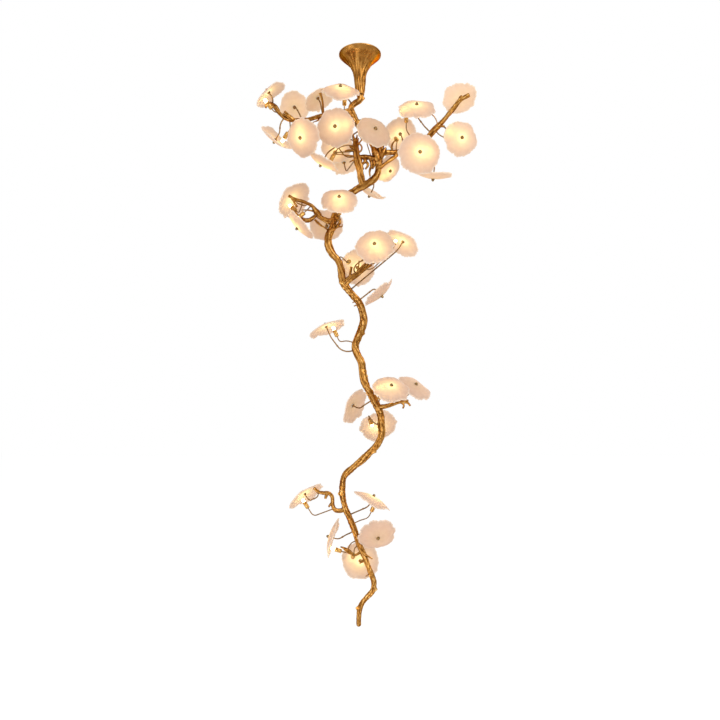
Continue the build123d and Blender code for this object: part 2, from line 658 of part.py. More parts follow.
# Glass flowers: a dome of glass trimmed to a lobed outline
for index, (plane, (seat, facing, size, stem_anchor, lamp)) in enumerate(zip(flower_planes, FLOWERS)):
    radius = size / 2
    lobes = LOBES + index % LOBE_CHOICES
    arc_radius = DOME_MIDDLE[0] * radius
    arc_drop = DOME_MIDDLE[1] * DOME
    with BuildPart() as flower:
        with BuildSketch(Plane.XZ):
            with BuildLine():
                Line((HOLE_RADIUS, 0), (PAD_RADIUS, 0))
                ThreePointArc((PAD_RADIUS, 0), (arc_radius, -arc_drop), (radius, -DOME))
                Line((radius, -DOME), (radius, -DOME - GLASS_RIM))
                ThreePointArc(
                    (radius, -DOME - GLASS_RIM), (arc_radius, -arc_drop - GLASS), (PAD_RADIUS, -GLASS)
                )
                Line((PAD_RADIUS, -GLASS), (HOLE_RADIUS, -GLASS))
                Line((HOLE_RADIUS, -GLASS), (HOLE_RADIUS, 0))
            make_face()
        revolve(axis=Axis.Z)
        with BuildSketch(Plane.XY.offset(-2 * DOME)):
            with BuildLine():
                notches = []
                for lobe in range(lobes):
                    angle = 360 * lobe / lobes + LOBE_SHIFT * math.sin(LOBE_SHIFT_PACE * lobe + index)
                    depth = NOTCH * (1 + NOTCH_SPREAD * math.sin(NOTCH_PACE * lobe + 2 * index))
                    notches.append((radius * (1 - depth), angle))
                for lobe in range(lobes):
                    near, start_angle = notches[lobe]
                    far, end_angle = notches[(lobe + 1) % lobes]
                    end_angle = end_angle + 360 * (lobe == lobes - 1)
                    crest = radius * (1 - LOBE_SWELL - LOBE_SWELL * math.sin(LOBE_PACE * lobe + index))
                    middle = math.radians((start_angle + end_angle) / 2)
                    first = math.radians(start_angle)
                    last = math.radians(end_angle)
                    ThreePointArc(
                        (near * math.cos(first), near * math.sin(first)),
                        (crest * math.cos(middle), crest * math.sin(middle)),
                        (far * math.cos(last), far * math.sin(last)),
                    )
            make_face()
        extrude(amount=3 * DOME, mode=Mode.INTERSECT)
    save(flower.part.moved(plane.location), f"flower_{index + 1:02d}")

# Lamp arms: thin tubes that end in the floor of their lampholder
lamp_arms = []
for route, buried in arm_routes:
    heading = (route[3] - route[2]).normalized()
    corners = route[:3] + [route[3] + heading * HOLDER_FLOOR]
    lamp_arms.append(rod_solid(corners, buried, ARM_RADIUS, ARM_BORE).part)
group(lamp_arms, "lamp_arms")

# Lampholder, ceramic socket and bulb, each built once with the bulb's tip at the origin
with BuildPart() as holder:
    with Locations((0, 0, HOLDER_BASE)):
        Cylinder(HOLDER_RADIUS, HOLDER_LENGTH, align=(Align.CENTER, Align.CENTER, Align.MIN))
        Cylinder(ARM_RADIUS + FIT / 2, 3 * HOLDER_FLOOR, mode=Mode.SUBTRACT)
    with Locations((0, 0, HOLDER_BASE + HOLDER_FLOOR)):
        Cylinder(
            HOLDER_RADIUS - HOLDER_WALL,
            HOLDER_LENGTH,
            align=(Align.CENTER, Align.CENTER, Align.MIN),
            mode=Mode.SUBTRACT,
        )
group([holder.part.moved(plane.location) for plane in lamp_planes], "lamp_holders")

with BuildPart() as socket:
    with Locations((0, 0, -BULB_LENGTH)):
        Cylinder(
            HOLDER_RADIUS - HOLDER_WALL - FIT,
            SOCKET_LENGTH,
            align=(Align.CENTER, Align.CENTER, Align.MAX),
        )
        Cylinder(
            BULB_BASE_RADIUS + FIT,
            BULB_BASE + FIT,
            align=(Align.CENTER, Align.CENTER, Align.MAX),
            mode=Mode.SUBTRACT,
        )
    with Locations((-PIN_SPACING / 2, 0, -BULB_LENGTH), (PIN_SPACING / 2, 0, -BULB_LENGTH)):
        Cylinder(
            PIN_RADIUS + FIT,
            BULB_BASE + PIN_LENGTH + 2 * FIT,
            align=(Align.CENTER, Align.CENTER, Align.MAX),
            mode=Mode.SUBTRACT,
        )
group([socket.part.moved(plane.location) for plane in lamp_planes], "lamp_sockets")

with BuildPart() as bulb:
    with BuildSketch(Plane.XZ):
        with BuildLine():
            Polyline(
                (0, 0),
                (0, -BULB_LENGTH - BULB_BASE),
                (BULB_BASE_RADIUS, -BULB_LENGTH - BULB_BASE),
                (BULB_BASE_RADIUS, -BULB_LENGTH + BULB_BASE_RADIUS / 2),
                (BULB_RADIUS, -BULB_LENGTH + BULB_RADIUS),
                (BULB_RADIUS, -BULB_RADIUS),
            )
            RadiusArc((BULB_RADIUS, -BULB_RADIUS), (0, 0), -BULB_RADIUS)
        make_face()
    revolve(axis=Axis.Z)
    with Locations((-PIN_SPACING / 2, 0, -BULB_LENGTH), (PIN_SPACING / 2, 0, -BULB_LENGTH)):
        Cylinder(PIN_RADIUS, BULB_BASE + PIN_LENGTH, align=(Align.CENTER, Align.CENTER, Align.MAX))
group([bulb.part.moved(plane.location) for plane in lamp_planes], "bulbs")
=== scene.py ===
"""Looks of the cluster chandelier: a gilt cast branch with frosted glass flowers and small lit lamps."""

import json
import math

import bpy
import numpy as np
from mathutils import Matrix, Vector, noise


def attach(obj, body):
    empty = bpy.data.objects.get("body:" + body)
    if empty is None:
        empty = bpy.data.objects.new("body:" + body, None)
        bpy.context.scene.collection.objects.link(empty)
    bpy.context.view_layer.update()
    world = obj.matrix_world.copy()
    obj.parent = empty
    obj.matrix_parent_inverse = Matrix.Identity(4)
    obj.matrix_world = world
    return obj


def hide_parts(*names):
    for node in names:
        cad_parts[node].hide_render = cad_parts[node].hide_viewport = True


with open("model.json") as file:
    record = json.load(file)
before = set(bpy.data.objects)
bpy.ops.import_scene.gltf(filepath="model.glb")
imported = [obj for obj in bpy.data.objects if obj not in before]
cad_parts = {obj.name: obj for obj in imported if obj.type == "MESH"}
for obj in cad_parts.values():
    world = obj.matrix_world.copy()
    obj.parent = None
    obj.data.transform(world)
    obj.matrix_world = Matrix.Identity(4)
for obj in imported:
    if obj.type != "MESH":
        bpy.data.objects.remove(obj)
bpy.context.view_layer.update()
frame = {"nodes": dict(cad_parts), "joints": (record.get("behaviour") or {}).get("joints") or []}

MM = 0.001
FULL_RANGE = (0.0, 1.0)
UP = Vector((0, 0, 1))
SIDE = Vector((1, 0, 0))
# A direction steeper than this is squared to SIDE, any other to UP
STEEP = 0.9
DOUBLE_GAP = 0.01 * MM
SMOOTH_ANGLE = math.radians(50)

# Camera: level with the middle of the branch, in front of it
CAMERA_PLACE = (0.0, -2.240, -1.222)
CAMERA_LENS = 28.0
CAMERA_SENSOR = 36.0

# Centre lines in millimetres, from the canopy to the tip
TRUNK_TOP = [
    (0, 0, -162), (0, 0, -180), (-20, 0, -195), (-35, 0, -210), (-35, 5, -225), (-25, 10, -245),
    (-10, 15, -270), (20, 20, -305), (45, 20, -340), (65, 20, -380), (75, 10, -420), (75, 10, -450),
    (65, 5, -485), (40, 0, -510), (15, 0, -525), (-15, 5, -540), (-45, 10, -560), (-75, 10, -585),
    (-90, 10, -620),
]
TRUNK_MIDDLE = [
    (-90, 10, -620), (-105, 10, -650), (-110, 0, -690), (-125, -15, -730), (-125, -25, -765),
    (-110, -25, -800), (-85, -20, -830), (-75, -10, -865), (-70, 0, -900), (-55, 10, -930),
    (-30, 10, -960), (-5, 15, -990), (10, 25, -1030), (15, 30, -1065), (5, 30, -1100),
    (-10, 30, -1135), (-20, 30, -1165), (-10, 25, -1200), (5, 20, -1230), (10, 20, -1265),
    (15, 10, -1295), (25, 0, -1325), (45, -10, -1360), (65, -20, -1400), (80, -25, -1435),
]
TRUNK_FOOT = [
    (80, -25, -1435), (85, -30, -1475), (85, -25, -1515), (70, -20, -1555), (40, -10, -1590),
    (5, 0, -1625), (-30, 5, -1655), (-60, 10, -1685), (-70, 20, -1725), (-70, 25, -1770),
    (-60, 25, -1820), (-40, 25, -1865), (-20, 20, -1915), (-5, 10, -1960), (15, 0, -2000),
    (30, -15, -2035), (45, -25, -2070), (55, -25, -2105), (50, -25, -2135), (30, -20, -2160),
    (10, -15, -2185), (0, -10, -2210), (-5, -5, -2250), (-5, 5, -2285),
]
# Limbs: root radius, tip radius and centre line, in millimetres
LIMBS = {
    "trunk_top": (12.0, 14.0, TRUNK_TOP),
    "trunk_middle": (14.0, 14.0, TRUNK_MIDDLE),
    "trunk_foot": (14.0, 9.5, TRUNK_FOOT),
    "crown_stub_branch": (10.0, 8.0, [
        (10, 0, -530), (0, -5, -495), (-5, -10, -465), (-15, -10, -430), (-20, -10, -390),
        (-20, -10, -345),
    ]),
    "crown_left_branch": (9.0, 6.5, [
        (-35, 5, -220), (-70, 20, -220), (-115, 40, -220), (-165, 40, -230), (-210, 35, -245),
        (-255, 20, -255), (-290, 10, -255), (-320, 5, -235), (-340, 0, -205), (-360, 0, -195),
    ]),
    "crown_right_branch": (10.5, 8.0, [
        (70, 15, -395), (105, 20, -385), (145, 30, -380), (195, 30, -375), (240, 25, -355),
        (280, 20, -320), (315, 10, -285), (345, 5, -250), (375, 0, -215), (400, -5, -185),
        (435, -5, -165),
    ]),
    "fork_branch": (8.0, 6.0, [
        (-105, 5, -665), (-135, 0, -660), (-165, -10, -645), (-185, -15, -615), (-220, -15, -595),
        (-250, -10, -585),
    ]),
    "arm_branch": (10.0, 8.0, [
        (-65, 5, -915), (-40, -5, -895), (-10, -10, -875), (15, -10, -850), (45, -15, -830),
    ]),
    "spur_branch": (10.0, 7.5, [
        (70, -20, -1410), (100, -30, -1405), (130, -35, -1395), (155, -40, -1385), (190, -40, -1385),
    ]),
    "hook_branch": (9.0, 6.5, [
        (-60, 25, -1825), (-80, 20, -1830), (-100, 15, -1825), (-110, 15, -1805), (-110, 10, -1785),
        (-115, 10, -1765), (-130, 5, -1755), (-150, 5, -1755), (-170, 10, -1750), (-185, 10, -1735),
    ]),
}
TRUNK_ORDER = ("trunk_top", "trunk_middle", "trunk_foot")

# Knots: limb, share of its length, direction they stand out in
KNOTS = [
    ("trunk_top", 0.03, (1, 0, 0.2)),
    ("trunk_top", 0.41, (0.5, -0.8, 0.3)),
    ("trunk_middle", 0.36, (-1, -0.4, 0.1)),
    ("trunk_middle", 0.615, (1, -0.2, 0.1)),
    ("trunk_foot", 0.17, (1, -0.3, -0.2)),
    ("trunk_foot", 0.41, (-1, -0.2, 0.3)),
    ("trunk_foot", 0.82, (1, -0.2, 0.2)),
    ("trunk_foot", 0.92, (-1, -0.2, 0.1)),
]

# Twigs and side strands cast on with each limb: centre line and radius at each point, in millimetres
TWIGS = {
    "trunk_top": [
        [(-12, 15, -262, 6), (20, 20, -256, 7), (55, 24, -260, 8), (85, 24, -290, 9), (92, 22, -330, 10),
         (84, 18, -375, 12)],
        [(70, 12, -420, 11), (30, 2, -410, 9), (-12, -6, -414, 8)],
        [(32, 2, -412, 7), (22, -8, -428, 6), (32, -12, -444, 5), (22, -8, -462, 3)],
        [(15, -3, -414, 7), (20, -12, -432, 6), (8, -14, -448, 5), (14, -12, -464, 3)],
        [(42, 6, -416, 7), (46, -3, -442, 6), (38, -6, -470, 5), (40, -6, -490, 3)],
        [(0, -4, -412, 6), (4, -10, -432, 5), (-2, -10, -452, 3)],
        [(58, 8, -420, 8), (56, 0, -440, 7), (50, -4, -458, 4)],
        [(78, 14, -432, 16), (69, 9, -410, 19), (62, 6, -392, 17), (57, 4, -378, 12), (52, 2, -352, 7)],
        [(80, 14, -402, 14), (80, 4, -382, 9), (76, 0, -366, 4)],
        [(78, 12, -408, 14), (94, 4, -388, 10), (104, 0, -372, 4)],
        [(78, 5, -452, 9), (105, 10, -430, 7), (128, 18, -412, 7), (150, 26, -392, 7)],
    ],
    "trunk_middle": [
        [(-95, 8, -665, 5), (-84, 0, -655, 4), (-84, -4, -636, 3)],
        [(-102, 2, -695, 5), (-85, -6, -690, 4), (-72, -8, -690, 3), (-70, -8, -682, 2)],
        [(-95, 4, -650, 8), (-80, -4, -668, 6), (-92, -6, -690, 7)],
        [(-16, 14, -972, 4), (-26, 8, -974, 3), (-34, 6, -978, 2)],
        [(-10, 15, -985, 4), (-22, 9, -988, 3), (-30, 6, -992, 2)],
        [(-4, 15, -1000, 4), (-16, 9, -1002, 3), (-24, 6, -1006, 2)],
    ],
    "trunk_foot": [
        [(4, 5, -1990, 6), (-18, -4, -2000, 5), (-34, -8, -1992, 6), (-52, -12, -1978, 9),
         (-66, -14, -1969, 6), (-78, -15, -1964, 2)],
        [(2, 4, -1985, 5), (28, -12, -2000, 4), (50, -16, -2012, 2)],
        [(18, -5, -2022, 5), (6, -10, -2027, 4), (-2, -12, -2032, 2)],
        [(42, -22, -2068, 4), (30, -28, -2072, 3), (22, -30, -2076, 2)],
    ],
    "crown_stub_branch": [
        [(16, -2, -520, 8), (9, -9, -485, 8), (3, -14, -450, 8), (-6, -15, -415, 7), (-10, -14, -380, 7),
         (-9, -13, -355, 5), (-6, -13, -340, 2)],
        [(-20, -10, -352, 9), (-26, -10, -336, 6), (-28, -10, -324, 3)],
        [(-22, -10, -378, 8), (-36, -13, -374, 6), (-42, -14, -368, 3)],
        [(-18, -10, -352, 6), (-13, -12, -338, 4), (-12, -12, -326, 2)],
        [(-20, -10, -390, 5), (-40, -14, -388, 4), (-60, -16, -392, 3)],
        [(-18, -10, -410, 4), (-60, -16, -408, 2), (-98, -18, -405, 2)],
        [(-16, -10, -425, 4), (-34, -14, -431, 3), (-42, -14, -436, 2)],
        [(-14, -12, -378, 4), (0, -16, -356, 3), (8, -18, -348, 3), (22, -20, -340, 2)],
        [(8, -18, -348, 3), (2, -19, -338, 2), (-2, -19, -328, 2)],
        [(-12, -16, -362, 4), (4, -22, -372, 3), (6, -22, -390, 3), (-10, -16, -400, 4)],
    ],
    "crown_left_branch": [
        [(-262, 14, -260, 7), (-282, 4, -246, 7), (-302, -2, -228, 5)],
        [(-275, 10, -255, 6), (-292, -4, -247, 5), (-308, -8, -240, 3)],
        [(-298, 8, -255, 6), (-328, 0, -232, 5), (-350, -6, -206, 5), (-364, -6, -197, 5)],
        [(-358, 0, -196, 6), (-372, -2, -200, 6), (-376, -4, -215, 4)],
        [(-150, 40, -228, 5), (-148, 10, -212, 4), (-150, -12, -190, 4), (-158, -25, -165, 5)],
        [(-165, 38, -235, 4), (-170, 20, -255, 3), (-185, 5, -268, 2), (-198, 0, -276, 2)],
    ],
    "crown_right_branch": [
        [(132, 26, -382, 6), (128, 12, -362, 4), (138, 6, -345, 3), (150, 4, -335, 2)],
        [(396, -5, -192, 6), (402, -9, -178, 4), (403, -10, -168, 3)],
        [(350, 3, -246, 5), (354, -2, -232, 4), (357, -4, -222, 2)],
        [(316, 10, -284, 5), (330, 4, -285, 4), (338, 0, -288, 4)],
        [(312, 10, -288, 3), (306, 4, -262, 2), (290, 0, -242, 2), (284, -2, -240, 2)],
        [(262, 20, -338, 9), (290, 12, -305, 11), (315, 6, -280, 10), (338, 2, -256, 6)],
    ],
    "fork_branch": [
        [(-158, -8, -648, 9), (-172, -12, -634, 13), (-185, -14, -616, 8)],
        [(-172, -14, -634, 7), (-180, -22, -655, 5), (-205, -28, -670, 9), (-230, -28, -665, 8),
         (-250, -24, -645, 4), (-270, -20, -622, 5)],
        [(-248, -10, -586, 7), (-268, -10, -577, 6), (-284, -10, -568, 6)],
        [(-268, -10, -577, 5), (-262, -14, -595, 4), (-250, -18, -614, 5)],
        [(-178, -14, -632, 4), (-205, -20, -628, 3), (-232, -22, -628, 2)],
        [(-172, -8, -646, 6), (-145, -2, -664, 5), (-118, 4, -676, 6)],
        [(-180, -16, -664, 4), (-155, -6, -686, 5), (-140, -4, -694, 3), (-122, -8, -708, 4)],
    ],
    "arm_branch": [
        [(-62, 0, -930, 7), (-40, -14, -907, 7), (-8, -20, -885, 6), (20, -20, -862, 6), (46, -22, -845, 5)],
        [(-42, -8, -893, 5), (-38, -16, -875, 5), (-34, -18, -852, 5)],
        [(-12, -12, -875, 4), (-6, -18, -855, 3), (-4, -20, -828, 2)],
    ],
    "spur_branch": [
        [(162, -40, -1386, 6), (172, -44, -1400, 4), (168, -46, -1412, 3)],
        [(132, -36, -1394, 6), (136, -42, -1380, 4), (134, -44, -1372, 2)],
        [(178, -40, -1385, 6), (192, -44, -1394, 4), (197, -46, -1402, 3)],
        [(148, -38, -1387, 8), (156, -44, -1378, 6), (160, -46, -1370, 3)],
    ],
    "hook_branch": [
        [(-130, 5, -1757, 7), (-136, 0, -1768, 6), (-138, -2, -1777, 4)],
        [(-110, 14, -1797, 7), (-121, 8, -1805, 5), (-126, 6, -1812, 3)],
    ],
}

# Bark: how finely it is modelled
RING_STEP = 2.5 * MM
LEAST_RINGS = 3
LINE_STEPS = 12
TRUNK_AROUND = 44
BRANCH_AROUND = 36
TWIG_AROUND = 12

# Bark: shifts that give each limb and each twig its own pattern
LIMB_SHIFT = 7.3
TWIG_SHIFT = 3.1
NEXT_TWIG_SHIFT = 1.7

# Bark: paces of its patterns round and along the limb, and depths as shares of the radius
BARK_TWIST = 8.0
STRANDS = 5
STRAND_DEPTH = 0.24
STRAND_LEVEL = 0.64
WARP_PACE = (0.8, 14.0)
WARP = 2.2
SCALE_PACE = (1.5, 55.0)
SCALE_CRACK = 0.3
SCALE_DEPTH = 0.15
SCALE_LEVEL = 0.65
PATCH_PACE = (0.5, 9.0)
PATCH_LEVEL = 0.7
PATCH_GAIN = 1.1
PATCH_LIMITS = (0.15, 1.0)
SWELL_PACE = 22.0
SWELL_ROW = 0.5
SWELL_DEPTH = 0.16
ROOT_FLARE = 0.30
ROOT_FLARE_LENGTH = 16.0 * MM
END_DISH = 0.25
KNOT_SPREAD = 6.5 * MM
KNOT_HEIGHT = 8.0 * MM
KNOT_REACH = 3.0

# Bark: tone of painted light, from 0, sunk and darkened by painted shade, to 1, brightened by a painted
# highlight
BARK_TONE = 0.5
STRAND_TONE = 0.42
SCALE_TONE = 0.55
KNOT_HIGHLIGHT = 0.3
END_TONE = 0.3

# Flowers: limb and share of its length where the stem leaves, then the lamp behind the glass or None.
# A lamp has its angle round the post in degrees, its distance from it, and the limb and share of its arm.
STEMS = [
    ("crown_left_branch", 0.97, (-95, 30, "crown_left_branch", 0.86)),
    ("crown_left_branch", 0.58, None),
    ("crown_left_branch", 0.34, None),
    ("trunk_top", 0.10, (-50, 26, "trunk_top", 0.18)),
    ("trunk_top", 0.22, (10, 38, "crown_stub_branch", 0.97)),
    ("crown_left_branch", 0.64, (90, 26, "crown_left_branch", 0.53)),
    ("crown_left_branch", 0.78, (-120, 26, "crown_left_branch", 0.72)),
    ("trunk_top", 0.27, (-105, 26, "crown_stub_branch", 0.87)),
    ("crown_stub_branch", 0.60, None),
    ("crown_stub_branch", 0.66, (-70, 26, "crown_stub_branch", 0.76)),
    ("trunk_top", 0.37, None),
    ("crown_right_branch", 0.25, (-35, 26, "crown_right_branch", 0.18)),
    ("crown_right_branch", 0.29, (10, 26, "crown_right_branch", 0.32)),
    ("crown_right_branch", 0.54, (-165, 42, "crown_right_branch", 0.36)),
    ("crown_right_branch", 0.96, None),
    ("crown_right_branch", 0.65, (155, 42, "crown_right_branch", 0.58)),
    ("crown_right_branch", 0.40, None),
    ("trunk_top", 0.44, (-115, 26, "trunk_top", 0.34)),
    ("trunk_top", 0.66, None),
    ("fork_branch", 0.77, (-70, 26, "fork_branch", 0.88)),
    ("trunk_top", 0.95, (-90, 26, "trunk_middle", 0.07)),
    ("fork_branch", 0.42, (90, 26, "fork_branch", 0.65)),
    ("fork_branch", 0.14, None),
    ("arm_branch", 0.45, (-60, 26, "arm_branch", 0.95)),
    ("trunk_middle", 0.40, (60, 26, "arm_branch", 0.73)),
    ("arm_branch", 0.59, (45, 42, "trunk_middle", 0.25)),
    ("trunk_middle", 0.46, None),
    ("trunk_middle", 0.69, (135, 26, "trunk_middle", 0.66)),
    ("spur_branch", 0.67, (-180, 38, "trunk_middle", 0.95)),
    ("spur_branch", 0.91, None),
    ("trunk_middle", 0.93, None),
    ("trunk_foot", 0.07, (-5, 26, "trunk_foot", 0.05)),
    ("hook_branch", 0.88, (-90, 26, "hook_branch", 0.26)),
    ("trunk_foot", 0.50, (-60, 26, "trunk_foot", 0.54)),
    ("trunk_foot", 0.57, (-90, 42, "trunk_foot", 0.61)),
    ("trunk_foot", 0.59, None),
    ("trunk_foot", 0.69, (20, 34, "trunk_foot", 0.63)),
]
# Diameter of each flower in millimetres
FLOWER_SIZES = [
    145, 130, 135, 155, 155, 150, 155, 150, 135, 135, 155, 140, 165, 155, 150, 145, 150, 120, 135,
    170, 155, 140, 150, 160, 160, 155, 155, 165, 155, 155, 160, 165, 170, 170, 165, 160, 160,
]

# Glass: section of a disc
GLASS = 5.0 * MM
GLASS_RIM = 3.5 * MM
DOME = 20.0 * MM
DOME_POWER = 1.76
PAD_RADIUS = 9.5 * MM
HOLE_RADIUS = 3.6 * MM

# Glass: lobes, notches, waves and pleats of the rim, as shares of the radius unless in millimetres.
# A lobe's shift is in degrees, and a pace makes each lobe differ from the next.
LOBES = 9
LOBE_CHOICES = 3
LOBE_SWELL = 0.03
LOBE_PACE = 2.6
LOBE_SHIFT = 9.0
LOBE_SHIFT_PACE = 2.1
NOTCH = 0.08
NOTCH_SPREAD = 0.5
NOTCH_PACE = 1.7
RIM_WAVE = 5.0 * MM
WAVE_TURNS = 3
SIDE_WAVE = 0.7
SIDE_WAVE_TURNS = 5
SIDE_WAVE_SHIFT = 2.3
WAVE_POWER = 3
PLEATS = 26
PLEAT_DRIFT = 2.6
PLEAT_DRIFT_TURNS = 5
PLEAT_DEPTH = 0.6 * MM
PLEAT_START = 0.72
PLEAT_NIP = 0.03

# Glass: how finely a disc is modelled, on a blank whose radius is 1
FLOWER_AROUND = 216
FLOWER_RINGS = 15
RING_CROWDING = 1.5
BLANK_HOLE = 0.001
BLANK_FACE = 0.984
BLANK_EDGE = [(1.0, 0.25), (1.0, 0.75)]

# Glass: painted glow, emission that stands in for a lamp's light through a disc in front of it, and for the
# light a disc without a lamp gets from its neighbours
GLOW_CORE = 0.17
GLOW_HALO = 0.45
HALO_SHARE = 0.35
GLOW_STRENGTH = 3.2
CROWN_FLOOR = -0.6
CROWN_GLOW = 0.07

# Stems, posts and lamps: heights from the front of the glass or from the tip of the bulb
STEM_RADIUS = 2.4 * MM
STEM_SWELL = 0.25
ARM_RADIUS = 2.2 * MM
ARM_SWELL = 0.1
SEAT_GAP = 0.5 * MM
WASHER_HEIGHT = 2.0 * MM
COLLAR_HEIGHT = 3.0 * MM
COLLAR_RADIUS = 7.0 * MM
POST_RADIUS = 3.0 * MM
POST_RISE = 7.0 * MM
STEM_TOP = -GLASS - SEAT_GAP - WASHER_HEIGHT - COLLAR_HEIGHT
COLLAR_TOP = STEM_TOP + COLLAR_HEIGHT
BULB_LENGTH = 24.0 * MM
SOCKET_LENGTH = 20.0 * MM
HOLDER_FLOOR = 3.0 * MM
HOLDER_BASE = -BULB_LENGTH - SOCKET_LENGTH - HOLDER_FLOOR
BULB_CLEARANCE = 8.0 * MM

# Wires: straight lead out of the limb, straight tail at the end, and the bends between
LEAD_SHARE = 0.28
TAIL_SHARE = 0.30
LEAD_LIMITS = (10.0 * MM, 45.0 * MM)
TAIL_LIMITS = (14.0 * MM, 45.0 * MM)
BEND_SHARE = 0.45
BEND_LIMIT = 60.0 * MM
LEAD_BEND = 2.0
BURIED_SHARE = 1.25
STRAIGHT_TURN = math.radians(4)
END_GRIP = 0.1
STRAIGHT_GRIP = 0.3
WIRE_STEPS = 7
WIRE_ROUNDING = 2
BUD_RUN = 30.0 * MM
BUD_SHARE = 0.45

# Turned pieces: radius and height of each corner, in millimetres but for the collar, and steps round
COLLAR_SECTION = [
    (0.0, STEM_TOP - 5 * MM), (2.6 * MM, STEM_TOP - 5 * MM), (3.4 * MM, STEM_TOP - 2 * MM),
    (COLLAR_RADIUS - 1 * MM, STEM_TOP), (COLLAR_RADIUS, STEM_TOP + 0.8 * MM),
    (COLLAR_RADIUS, COLLAR_TOP - 0.4 * MM), (COLLAR_RADIUS - 0.4 * MM, COLLAR_TOP),
    (POST_RADIUS, COLLAR_TOP), (POST_RADIUS, POST_RISE), (0.0, POST_RISE),
]
BUD_SECTION = [(0.0, -7.0), (2.6, -4.0), (3.9, 0.0), (3.2, 3.0), (2.4, 5.5), (0.0, 8.0)]
NUT_SECTION = [
    (0.0, 0.5), (7.0, 0.5), (7.5, 1.0), (7.5, 2.0), (7.0, 2.5), (5.9, 2.6), (5.6, 3.2), (5.5, 5.0),
    (4.9, 7.2), (3.6, 9.2), (2.0, 10.2), (0.0, 10.5),
]
HOLDER_SECTION = [
    (2.3, 0.0), (5.2, 0.0), (7.4, 0.8), (8.3, 2.2), (8.5, 4.0), (8.5, 6.0), (7.8, 6.5), (7.8, 7.2),
    (8.5, 7.8), (8.5, 24.5), (8.2, 25.2), (8.9, 26.2), (9.0, 28.2), (8.6, 29.0), (7.6, 29.0), (7.3, 28.4),
    (7.3, 3.2), (2.3, 3.0),
]
COLLAR_AROUND = 24
BUD_AROUND = 12
NUT_AROUND = 28
HOLDER_AROUND = 28

# Canopy: depth below the ceiling and radius, outside and in the hollow, in millimetres
CANOPY_FLARE = [
    (4.0, 80.0), (14.0, 74.0), (26.0, 60.0), (40.0, 46.0), (54.0, 36.0), (68.0, 29.5), (88.0, 25.0),
    (115.0, 21.5), (140.0, 19.5), (162.0, 16.0),
]
CANOPY_HOLLOW = [(54.0, 31.0), (40.0, 41.0), (26.0, 54.0), (14.0, 68.0), (0.0, 74.0)]
CANOPY_FLOOR = 5.0

# Canopy: bore, rim and how finely it is modelled
CANOPY_BORE = 5.6 * MM
CANOPY_RADIUS = 84.0 * MM
CANOPY_RIM = 5.0 * MM
CANOPY_EDGE = 0.8 * MM
CANOPY_RINGS = 64
CANOPY_AROUND = 160

# Canopy: ribs like roots, which fade towards the rim
RIM_BAND = 1.0 * MM
PLAIN_DEPTH = 4.1 * MM
SKIN_DEPTH = 2.0 * MM
RIB_FADE = 40.0 * MM
RIB_GROWTH = 80.0 * MM
RIB_TWIST = 3.0
RIB_PACE = (3.2, 16.0)
RIB_DEPTH = 0.055
RIB_LEVEL = 0.4
RIB_VALLEY = 2.2
CRINKLE_PACE = (7.0, 30.0)
CRINKLE_DEPTH = 0.02
# Tones of painted light: a plain tone, a painted highlight line on the rim, and painted shade in the rib
# valleys with a painted highlight on the crests
HOLLOW_TONE = 0.62
RIM_HIGHLIGHT = 0.92
RIB_TONE = 0.44
RIB_HIGHLIGHT = 6.5

# Room: metres and watts
FLOOR_SIZE = 30.0
FLOOR_CENTRE = (0, 0, -4.2)
BRANCH_CENTRE = (0, 0, -1.1)
BRANCH_FOOT = (0, 0, -1.7)
# Lights: place, target, width and height, power
LIGHTS = {
    "key_light": ((2.2, -2.6, 0.6), BRANCH_CENTRE, (1.2, 2.4), 60.0),
    "fill_light": ((-2.6, -1.6, -0.8), BRANCH_CENTRE, (1.0, 2.4), 22.0),
    "back_light": ((1.4, 2.4, -0.2), BRANCH_CENTRE, (1.0, 2.0), 30.0),
    "foot_light": ((-0.7, -1.1, -2.3), BRANCH_FOOT, (0.3, 0.9), 6.0),
}


def clamp(value, limits):
    return min(max(value, limits[0]), limits[1])


# Meshes


def nothing_selected():
    """Leave edit mode and drop the selection, so the next operator acts on its own piece only."""
    if bpy.context.object is not None and bpy.context.object.mode != "OBJECT":
        bpy.ops.object.mode_set(mode="OBJECT")
    bpy.ops.object.select_all(action="DESELECT")


def make_object(name, points, faces):
    """A mesh object at the origin with its place in its mesh."""
    mesh = bpy.data.meshes.new(name)
    mesh.from_pydata([tuple(point) for point in points], [], faces)
    mesh.update()
    piece = bpy.data.objects.new(name, mesh)
    bpy.context.scene.collection.objects.link(piece)
    return piece


def new_curve(count):
    """A curve with so many points, to be laid and then made a mesh."""
    nothing_selected()
    bpy.ops.curve.primitive_bezier_curve_add()
    curve = bpy.context.object
    points = curve.data.splines[0].bezier_points
    points.add(count - len(points))
    return curve, points


def discard(piece):
    """Remove a piece that has served its turn, with its mesh."""
    mesh = piece.data
    bpy.data.objects.remove(piece)
    bpy.data.meshes.remove(mesh)


def read_places(piece):
    return np.array([vertex.co for vertex in piece.data.vertices], float)


def move_places(piece, places):
    piece.data.vertices.foreach_set("co", places.astype(np.float32).ravel())
    piece.data.update()


def give_attribute(piece, name, values):
    """Keep one value per point, for a material to read."""
    layer = piece.data.attributes.new(name, "FLOAT", "POINT")
    layer.data.foreach_set("value", np.asarray(values, np.float32))


def edit_all(piece):
    """Open a piece in edit mode by itself, with all of it selected."""
    nothing_selected()
    bpy.context.view_layer.objects.active = piece
    piece.select_set(True)
    bpy.ops.object.mode_set(mode="EDIT")
    bpy.ops.mesh.select_all(action="SELECT")


def tidy_normals(piece):
    """Merge doubles, turn all faces outwards and shade the piece smooth."""
    edit_all(piece)
    bpy.ops.mesh.remove_doubles(threshold=DOUBLE_GAP)
    bpy.ops.mesh.normals_make_consistent(inside=False)
    bpy.ops.object.mode_set(mode="OBJECT")
    bpy.ops.object.shade_smooth_by_angle(angle=SMOOTH_ANGLE)


